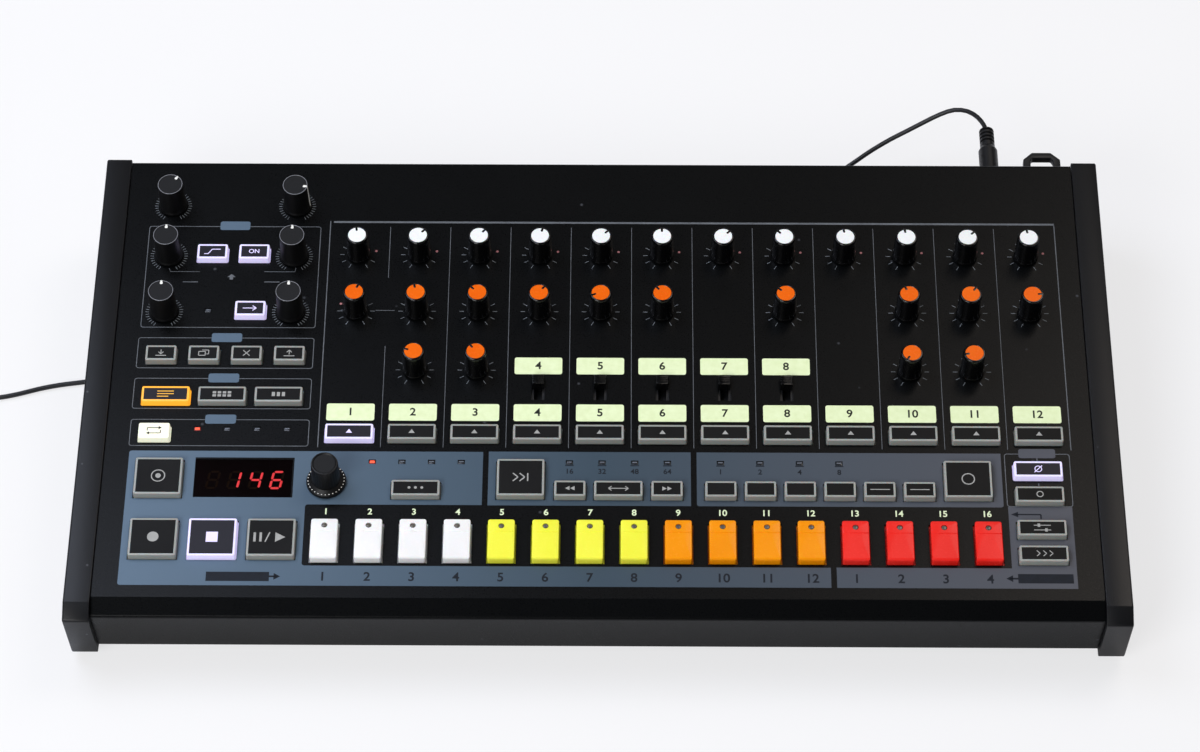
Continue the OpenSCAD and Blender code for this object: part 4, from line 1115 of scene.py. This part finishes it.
def makeKnob(name, kind, place, turn, material):
    k = knobShape[kind]
    spot = toPanel @ at(*place) @ Matrix.Rotation(-math.radians(turn), 4, "Z")
    body, mark = knobBody(k), bmesh.new()
    if kind == "channel":
        dressChannelKnob(body, mark, k)
    else:
        dressEffectKnob(body, mark, k)
    side = knobAbs if kind == "channel" else dullAbs
    piece = makePiece(body, name + "_body", name, [side, knobFace, highlightBeadAbs], 30, spot)
    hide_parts(name)
    makePiece(mark, name + "_mark", name, [material], 30, spot)


for row, (v, channels) in knobRows.items():
    for i, turn in zip(channels, knobTurn[row]):
        inlay = inlayWhite if row == "level" else inlayOrange
        makeKnob(f"{row}_knob_{i + 1}", "channel", (channelU(i), v), turn, inlay)
for i, (spot, turn) in enumerate(zip(effectAt, knobTurn["effect"])):
    makeKnob(f"fx_knob_{i + 1}", "effect", spot, turn, pointerWhite)

dial = {
    "skirt": 19,
    "top": 12.7,
    "height": 17,
    "flare": 0.45,  # the grip is this much wider at its foot
    "ribs": 30,
    "rib": (0.5, 0.3),
    "ribOut": 0.42,
    "ribLean": 0.9,  # share of the grip's slope that a rib has
    "dots": 30,
    "dot": 0.27,
    "dotIn": 0.95,
    "dotLevel": (1.93, 2.07),  # its low and high side over the gap
}


def makeDial():
    t, s, h, lift = dial["top"] / 2, dial["skirt"] / 2, dial["height"], knobShape["lift"]
    shaft, foot = knobShape["shaft"] / 2, knobShape["shaftFoot"]
    place = toPanel @ at(*dialAt)
    body = turned([
        (0, h - 0.5), (t - 1.3, h - 0.45), (t - 0.7, h), (t - 0.2, h - 0.1), (t, h - 0.6),
        (t + dial["flare"], lift + 3.1), (s - 1.0, lift + 2.0), (s - 0.3, lift + 1.5), (s, lift + 0.8),
        (s, lift), (shaft, lift), (shaft, foot), (0, foot),
    ], 72)
    lean = Matrix.Rotation(math.atan2(dial["flare"], h - lift - 3) * dial["ribLean"], 4, "X")
    for i in range(dial["ribs"]):
        spot = Matrix.Rotation(math.tau * i / dial["ribs"], 4, "Z") @ at(0, t + dial["ribOut"]) @ lean
        stamp(body, roundedBlock(*dial["rib"], lift + 3.2, h - 1.0, 0.1), spot)
    stamp(body, disc(t - 1.25, h - 0.6, h - 0.4, 64), paint=1)
    piece = makePiece(body, "dialBody", "data_dial", [dullAbs, knobFace], 30, place)
    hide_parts("data_dial")
    dots = bmesh.new()
    out = s - dial["dotIn"]
    low, high = dial["dotLevel"]
    for i in range(dial["dots"]):
        a = math.tau * (i + 0.5) / dial["dots"]
        stamp(dots, disc(dial["dot"], low, high, 10), at(out * math.cos(a), out * math.sin(a), lift))
    makePiece(dots, "dialDots", "data_dial", [pointerWhite], 0, place)


makeDial()
print("knobs done")

button = {
    "height": 3.2,
    "corner": 0.9,
    "soft": 0.28,
    "taper": 0.22,
    "rimTop": 0.75,
    "recess": 0.8,
    "plateIn": 1.16,  # from the cap's side to the film plate's
    "plateDown": 0.05,
    "plateCorner": 0.35,
    "plateSoft": 0.12,
    "flangeOut": 0.8,
    "flangeTop": -1.5,
    "flangeFoot": -2.5,
    "flangeCorner": 0.8,
    "plunger": 4,
    "plungerFoot": -12.4,
    "plungerCorner": 0.3,
    "iconThick": 0.04,
    "iconLine": {"square": 0.6, "select": 0.42, "narrow": 0.42, "wide": 0.42},
}


# the flange that keeps a cap or a key under the panel, and its plunger
def addFoot(bm, width, depth, plungerFoot):
    b = button
    low, high, wide = b["flangeFoot"], b["flangeTop"], b["plunger"]
    size = (width + 2 * b["flangeOut"], depth + 2 * b["flangeOut"])
    stamp(bm, roundedBlock(*size, low, high, b["flangeCorner"], steps=2))
    stamp(bm, roundedBlock(wide, wide, plungerFoot, low, b["plungerCorner"], steps=2))


def topFace(bm):
    bm.normal_update()
    return max(bm.faces, key=lambda f: (f.normal.z > 0.99) * f.calc_area())


# a cap with a rim round its sunk top
def capShape(width, depth):
    b = button
    bm = roundedBlock(width, depth, b["flangeTop"], b["height"], b["corner"], b["soft"], b["taper"])
    top = topFace(bm)
    bmesh.ops.inset_individual(bm, faces=[top], thickness=b["rimTop"])
    sunk = bmesh.ops.extrude_discrete_faces(bm, faces=[top])["faces"][0]
    bmesh.ops.translate(bm, vec=(0, 0, -b["recess"]), verts=sunk.verts[:])
    addFoot(bm, width, depth, b["plungerFoot"])
    return bm


def plateShape(width, depth):
    b = button
    smaller = 2 * b["plateIn"]
    low, high = b["height"] - b["recess"], b["height"] - b["plateDown"]
    return roundedBlock(width - smaller, depth - smaller, low, high, b["plateCorner"], b["plateSoft"])


def triangle(way, size, shift=0.0):
    back, tip, half = shift - way * size / 2, shift + way * size / 2, size * 0.56
    return [(back, -half), (tip, 0), (back, half)]


def rectangle(u, v, width, depth):
    return corners(boxRound((u, v), (width, depth)))


def chevrons(spots, width, half, way=1):
    return [[(u, half), (u + way * width, 0), (u, -half)] for u in spots]


# plain pictograms: filled outlines and strokes, in millimetres from the middle of a button
icons = {
    "dot": {"discs": [(0, 0, 2.7)]},
    "square": {"fills": [rectangle(0, 0, 5.5, 5.5)]},
    "pausePlay": {
        "fills": [rectangle(-7.6, 0, 1.15, 5), rectangle(-4.8, 0, 1.15, 5), triangle(1, 4.7, 4.4)],
        "strokes": [[(-2.6, -2.6), (-0.6, 2.6)]],
    },
    "back": {"fills": [triangle(-1, 2.1, -1.2), triangle(-1, 2.1, 1.2)]},
    "on": {"fills": [triangle(1, 2.1, -1.2), triangle(1, 2.1, 1.2)]},
    "span": {
        "strokes": [[(-4.6, 0), (4.6, 0)]] + chevrons([-3.2], 1.5, 1.2, -1) + chevrons([3.2], 1.5, 1.2),
    },
    "up": {"fills": [[(-1.5, -0.9), (1.5, -0.9), (0, 1.3)]]},
    "bar": {"strokes": [[(-4.6, 0), (4.6, 0)]]},
    "filter": {"strokes": [[(-4, -1.5), (-2, -1.5), (-0.2, 1.2), (4, 1.2)]]},
    "send": {"strokes": [[(-3.6, 0), (2.6, 0)]] + chevrons([1.2], 1.8, 1.4)},
    "store": {"strokes": [
        [(-2.6, -1.6), (2.6, -1.6)], [(0, 1.8), (0, -0.6)], [(-1.2, 0.5), (0, -0.8), (1.2, 0.5)],
    ]},
    "twin": {"strokes": [
        [(-2.4, -1.5), (0.8, -1.5), (0.8, 0.8), (-2.4, 0.8), (-2.4, -1.5)],
        [(-0.8, 1.6), (2.4, 1.6), (2.4, -0.7), (1.4, -0.7)],
    ]},
    "cross": {"strokes": [[(-1.6, -1.6), (1.6, 1.6)], [(-1.6, 1.6), (1.6, -1.6)]]},
    "lift": {"strokes": [
        [(-2.6, -1.6), (2.6, -1.6)], [(0, -0.8), (0, 1.6)], [(-1.2, 0.5), (0, 1.8), (1.2, 0.5)],
    ]},
    "lines": {"strokes": [[(-4, 1.5), (4, 1.5)], [(-4, 0), (4, 0)], [(-4, -1.5), (1.5, -1.5)]]},
    "grid": {"fills": [rectangle(u, v, 1.7, 1.3) for u in (-3.6, -1.2, 1.2, 3.6) for v in (-0.9, 0.9)]},
    "step": {"fills": [rectangle(u, 0, 1.5, 2.4) for u in (-2.4, 0, 2.4)]},
    "loop": {
        "strokes": [[(-3.2, -0.2), (-3.2, 1.5), (2.4, 1.5)], [(3.2, 0.2), (3.2, -1.5), (-2.4, -1.5)]],
        "fills": [[(2.2, 0.6), (3.7, 1.5), (2.2, 2.4)], [(-2.2, -0.6), (-3.7, -1.5), (-2.2, -2.4)]],
    },
    "dots": {"discs": [(-3, 0, 0.7), (0, 0, 0.7), (3, 0, 0.7)]},
    "ring": {"rings": [(3.2, 0.55)]},
    "tap": {"rings": [(3.4, 0.5)], "discs": [(0, 0, 1.3)]},
    "scroll": {"strokes": chevrons([-3.6, -0.4], 2.4, 2.2) + [[(3.4, 2.2), (3.4, -2.2)]]},
    "mute": {"rings": [(1.8, 0.4)], "strokes": [[(-1.9, -1.9), (1.9, 1.9)]]},
    "solo": {"rings": [(1.7, 0.45)]},
    "sliders": {
        "strokes": [[(-4, 1.3), (4, 1.3)], [(-4, -1.3), (4, -1.3)]],
        "fills": [rectangle(-1.6, 1.3, 1.2, 1.8), rectangle(1.8, -1.3, 1.2, 1.8)],
    },
    "fill": {"strokes": chevrons([-3.4, -0.4, 2.6], 1.5, 1.5)},
    "onWord": {"words": [("ON", 3.4, 0.04)]},
}


def iconShape(name, width):
    bm = bmesh.new()
    low = button["height"] - button["plateDown"]
    high = low + button["iconThick"]
    drawing = icons[name]
    for outline in drawing.get("fills", []):
        stamp(bm, slab(outline, low, high))
    for u, v, r in drawing.get("discs", []):
        stamp(bm, disc(r, low, high, 28), at(u, v))
    for r, lineWidth in drawing.get("rings", []):
        stamp(bm, printedRing((-r, -r, r, r), lineWidth, r * 0.98, low))
    for line in drawing.get("strokes", []):
        strokes(bm, line, width, low)
    for text, size, bold in drawing.get("words", []):
        stamp(bm, words(text, size, (0, 0), low, bold))
    return bm


buttonPaint = {
    "caps": {"plain": capGrey, "lit": capLit, "amber": capAmber, "cream": capCream},
    "plates": {"plain": plateFilm, "lit": plateLit, "amber": plateLit},
    "icons": {"plain": iconGrey, "lit": iconLit, "amber": iconAmber, "cream": iconDark},
}


# one kind of button: its caps, film plates and icons become one piece for each state
def makeBank(kind, body, kindIcons, states):
    size = buttonSize[kind]
    layers = {layer: {} for layer in buttonPaint}

    def lay(layer, state, place, shape):
        stamp(layers[layer].setdefault(state, bmesh.new()), shape, at(*place))

    for place, icon, state in zip(buttonsAt[kind], kindIcons, states):
        lay("caps", state, place, capShape(*size))
        # a cream cap has its plate moulded in one with it
        lay("caps" if state == "cream" else "plates", state, place, plateShape(*size))
        if icon:
            lay("icons", state, place, iconShape(icon, button["iconLine"][kind]))
    made = []
    for layer, banks in layers.items():
        smooth = 35 if layer == "caps" else 0
        for state, bm in banks.items():
            paint = [buttonPaint[layer][state]]
            made.append(makePiece(bm, f"{kind}_{layer}_{state}", body, paint, smooth))
    return made[0]


firstCap = makeBank("select", "select_buttons", ["up"] * 12, ["lit"] + ["plain"] * 11)
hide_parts("select_buttons")
firstCap = makeBank(
    "square", "square_buttons", ["tap", "dot", "square", "pausePlay", "scroll", "ring"],
    ["plain", "plain", "lit", "plain", "plain", "plain"],
)
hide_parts("square_buttons")
firstCap = makeBank(
    "narrow", "strip_buttons",
    ["filter", "onWord", "send", "store", "twin", "cross", "lift", "loop", "back", "on"]
    + [None] * 4 + ["bar"] * 2,
    ["lit"] * 3 + ["plain"] * 4 + ["cream"] + ["plain"] * 8,
)
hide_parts("strip_buttons")
makeBank(
    "wide", "strip_buttons", ["lines", "grid", "step", "dots", "span", "mute", "solo", "sliders", "fill"],
    ["amber"] + ["plain"] * 4 + ["lit"] + ["plain"] * 3,
)
print("buttons done")

keyForm = {
    "width": 12.6,
    "depth": 21.6,
    "height": 4.0,
    "corner": 1.1,
    "soft": 0.45,
    "rise": 1.4,  # radius of the front edge
    "frontCuts": (0.15, 0.4, 0.8, 1.4),  # behind the front face, where that round is cut
    "hole": 1.45,
    "holeUp": 7.2,
    "holeDeep": 2,
    "groove": (4.0, 0.3, 0.22),  # place, half width, depth
    "plungerFoot": -11.8,
    "lens": [(0, 3.88), (0.8, 3.85), (1.1, 3.78), (1.22, 3.64), (0, 3.64)],
}


# one key: a soft block, a hole in its top for the light, a groove ahead of it and a round front edge
def keyShape():
    k = keyForm
    bm = roundedBlock(
        k["width"], k["depth"], button["flangeTop"], k["height"], k["corner"], k["soft"], steps=5
    )
    top = topFace(bm)
    outer = top.edges[:]
    bmesh.ops.delete(bm, geom=[top], context="FACES_ONLY")
    circle = bmesh.ops.create_circle(
        bm, cap_ends=False, radius=k["hole"], segments=24, matrix=at(0, k["holeUp"], k["height"])
    )["verts"]
    rim = [e for e in bm.edges if e.verts[0] in circle and e.verts[1] in circle]
    bmesh.ops.triangle_fill(bm, use_beauty=True, use_dissolve=False, edges=outer + rim)
    walls = bmesh.ops.extrude_edge_only(bm, edges=rim)
    low = [g for g in walls["geom"] if isinstance(g, bmesh.types.BMVert)]
    bmesh.ops.translate(bm, vec=(0, 0, -k["holeDeep"]), verts=low)
    bmesh.ops.edgeloop_fill(bm, edges=[e for e in bm.edges if e.verts[0] in low and e.verts[1] in low])
    front = -k["depth"] / 2
    spot, half, deep = k["groove"]
    for y in [spot - half, spot, spot + half] + [front + cut for cut in k["frontCuts"]]:
        cutAcross(bm, (0, y, 0), (0, 1, 0))
    for vert in bm.verts:
        if abs(vert.co.y - spot) < 1e-4 and vert.co.z > k["height"] - k["soft"]:
            vert.co.z -= deep
        reach = front + k["rise"] - vert.co.y
        if reach > 0:
            fall = k["rise"] - math.sqrt(max(k["rise"] ** 2 - reach ** 2, 0))
            vert.co.z = min(vert.co.z, k["height"] - fall)
    addFoot(bm, keyRow["width"], keyRow["depth"], k["plungerFoot"])
    return bm


def makeKeys():
    keys, lenses = bmesh.new(), bmesh.new()
    for i, (u, v) in enumerate(keysAt):
        stamp(keys, keyShape(), at(u, v), paint=i // 4)
        stamp(lenses, turned(keyForm["lens"], 24), at(u, v + keyForm["holeUp"]))
    piece = makePiece(keys, "stepKeys", "step_keys", keyPaints, 35)
    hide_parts("step_keys")
    makePiece(lenses, "keyLenses", "step_keys", [keyLens], 40)


makeKeys()
print("step keys done")

light = {
    "lit": [lightsAt["part"][0], lightsAt["sync"][0]],
    "pipe": (-14.2, -0.1, 0.2, 0.1),  # low and high end, corner, and the soft of its top
    "core": (2.3, 1.3, -0.1, 0.02, 0.3),  # width, depth, low and high side, and corner
    "edge": (2.2, 0.5, -0.1, -0.04, 0.15),
    "edgeUp": 0.3,
    "dome": [(0, 1.8), (0.5, 1.72), (0.85, 1.4), (1.05, 0.9), (1.05, -14.2), (0, -14.2)],
    "domeUp": 7.6,  # behind the middle of its key
}


def makeLights():
    dark, lit, core, edge, domes = (bmesh.new() for _ in range(5))
    for u, v in [spot for spots in lightsAt.values() for spot in spots]:
        on = (u, v) in light["lit"]
        stamp(lit if on else dark, roundedBlock(*lightSize, *light["pipe"]), at(u, v))
        if on:
            stamp(core, roundedBlock(*light["core"]), at(u, v))
        else:
            stamp(edge, roundedBlock(*light["edge"]), at(u, v + light["edgeUp"]))
    for u, v in keysAt:
        stamp(domes, turned(light["dome"], 20), at(u, v + light["domeUp"]))
    piece = makePiece(dark, "lightsDark", "case", [lensDark])
    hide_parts("indicator_lights")
    makePiece(lit, "lightsLit", "case", [lensRed])
    makePiece(core, "lightsCore", "case", [lightRed])
    makePiece(edge, "lightsEdge", "case", [lensGrey], 0)
    makePiece(domes, "keyDomes", "case", [ledDome], 40)


makeLights()

digits = {
    "shown": [None, "1", "4", "6"],
    "height": 10.2, "width": 5.8, "stroke": 1.1, "slant": 10, "thick": 0.03,
    "pitch": 10.1, "last": -152.4, "v": 68.2, "level": -0.1,
}
segmentsOf = {"1": "bc", "4": "bcfg", "6": "acdefg"}


# the outline of one bar of a digit: a, g and d lie, and the others stand
def segment(which):
    w, h, s = digits["width"] / 2, digits["height"] / 2, digits["stroke"]
    lying = {"a": h - s / 2, "g": 0, "d": -h + s / 2}
    if which in lying:
        y = lying[which]
        return [(-w + s * 0.75, y), (-w + s * 1.2, y + s / 2), (w - s * 1.2, y + s / 2), (w - s * 0.75, y),
                (w - s * 1.2, y - s / 2), (-w + s * 1.2, y - s / 2)]
    x = (w - s / 2) * (1 if which in "bc" else -1)
    low, high = (0.25, h - s * 0.75) if which in "bf" else (-h + s * 0.75, -0.25)
    return [(x, low), (x + s / 2, low + s * 0.45), (x + s / 2, high - s * 0.45), (x, high),
            (x - s / 2, high - s * 0.45), (x - s / 2, low + s * 0.45)]


def makeDigits():
    lit, off = bmesh.new(), bmesh.new()
    lean = Matrix.Identity(4)
    lean[0][1] = math.tan(math.radians(digits["slant"]))
    for k, shown in enumerate(digits["shown"]):
        u = digits["last"] - (len(digits["shown"]) - 1 - k) * digits["pitch"]
        place = at(u, digits["v"], digits["level"]) @ lean
        for which in "abcdefg":
            target = lit if shown and which in segmentsOf[shown] else off
            stamp(target, slab(segment(which), 0, digits["thick"]), place)
    makePiece(lit, "segmentsLit", "case", [segmentLit], 0)
    makePiece(off, "segmentsUnlit", "case", [segmentOff], 0)


makeDigits()
print("lights and digits done")

stage = {
    "paper": "#f4f4f6",
    "size": 14.0,
    "drop": 0.0002,
    "paperSeen": "#fbfbfc",
    "paperGlow": 0.7,  # share of the paper's whiteness that the camera sees without shadow
    "sky": "#f2f4f8",
    "skyLight": 0.3,
    "skyMirrored": 0.03,
    "skySeen": ("#fbfbfd", 0.9),
}


# the floor glows for the camera alone, and still takes the soft shadow
def makeFloor():
    bm = bmesh.new()
    bmesh.ops.create_grid(bm, x_segments=1, y_segments=1, size=stage["size"] / 2)
    mesh = bpy.data.meshes.new("floor")
    bm.to_mesh(mesh)
    bm.free()
    # seamless white paper: even, dull and without gloss
    noGloss = {"Specular IOR Level": 0.0}
    material, tree, shader = startMaterial("whitePaper", stage["paper"], 0.9, noGloss)[:3]
    glow = addNode(tree, "ShaderNodeEmission", {"Color": linear(stage["paperSeen"]), "Strength": 1.0})
    path = addNode(tree, "ShaderNodeLightPath")
    share = addNode(
        tree, "ShaderNodeMath", {"operation": "MULTIPLY", 1: stage["paperGlow"]},
        {0: path.outputs["Is Camera Ray"]},
    )
    mix = addNode(
        tree, "ShaderNodeMixShader", None,
        {"Fac": share.outputs["Value"], 1: shader.outputs["BSDF"], 2: glow.outputs["Emission"]},
    )
    tree.links.new(mix.outputs["Shader"], tree.nodes["Material Output"].inputs["Surface"])
    mesh.materials.append(material)
    floor = addObject("floor", mesh)
    floor.location.z = -stage["drop"]


# the sky lights the object, is dim in reflections, and is near white where the camera sees it
def makeWorld():
    world = bpy.data.worlds.new("studio")
    bpy.context.scene.world = world
    world.use_nodes = True
    tree = world.node_tree
    sky = tree.nodes["Background"]
    sky.inputs["Color"].default_value = linear(stage["sky"])
    sky.inputs["Strength"].default_value = stage["skyLight"]
    mirrored = addNode(
        tree, "ShaderNodeBackground", {"Color": linear(stage["sky"]), "Strength": stage["skyMirrored"]}
    )
    colour, strength = stage["skySeen"]
    seen = addNode(tree, "ShaderNodeBackground", {"Color": linear(colour), "Strength": strength})
    path = addNode(tree, "ShaderNodeLightPath")
    mix = sky.outputs["Background"]
    for ray, other in (("Is Glossy Ray", mirrored), ("Is Camera Ray", seen)):
        mix = addNode(
            tree, "ShaderNodeMixShader", None,
            {"Fac": path.outputs[ray], 1: mix, 2: other.outputs["Background"]},
        ).outputs["Shader"]
    tree.links.new(mix, tree.nodes["World Output"].inputs["Surface"])


softboxes = {  # place and size in metres, power in watts and colour
    "leftSoftbox": ((-0.62, 0.22, 1.2), (0.75, 0.75), 8.6, "#e4ecff"),
    "rightSoftbox": ((0.8, 0.65, 1.8), (0.9, 0.9), 9.8, "#fff4ea"),
    "frontSoftbox": ((-0.95, -1.5, 1.3), (1.0, 0.8), 22, "#ffffff"),
    "rearSoftbox": ((0.05, 1.45, 1.5), (1.6, 0.4), 1, "#ffffff"),
}


# every softbox is turned to the middle of the object
def addSoftbox(name, place, size, power, colour):
    data = bpy.data.lights.new(name, "AREA")
    data.shape = "RECTANGLE"
    data.size, data.size_y = size
    data.energy = power
    data.color = linear(colour)[:3]
    obj = addObject(name, data)
    obj.location = place
    obj.rotation_mode = "QUATERNION"
    obj.rotation_quaternion = (-Vector(place)).to_track_quat("-Z", "Y")


bpy.context.scene.view_settings.view_transform = "Standard"
makeFloor()
makeWorld()
for name, values in softboxes.items():
    addSoftbox(name, *values)
print("stage lit")
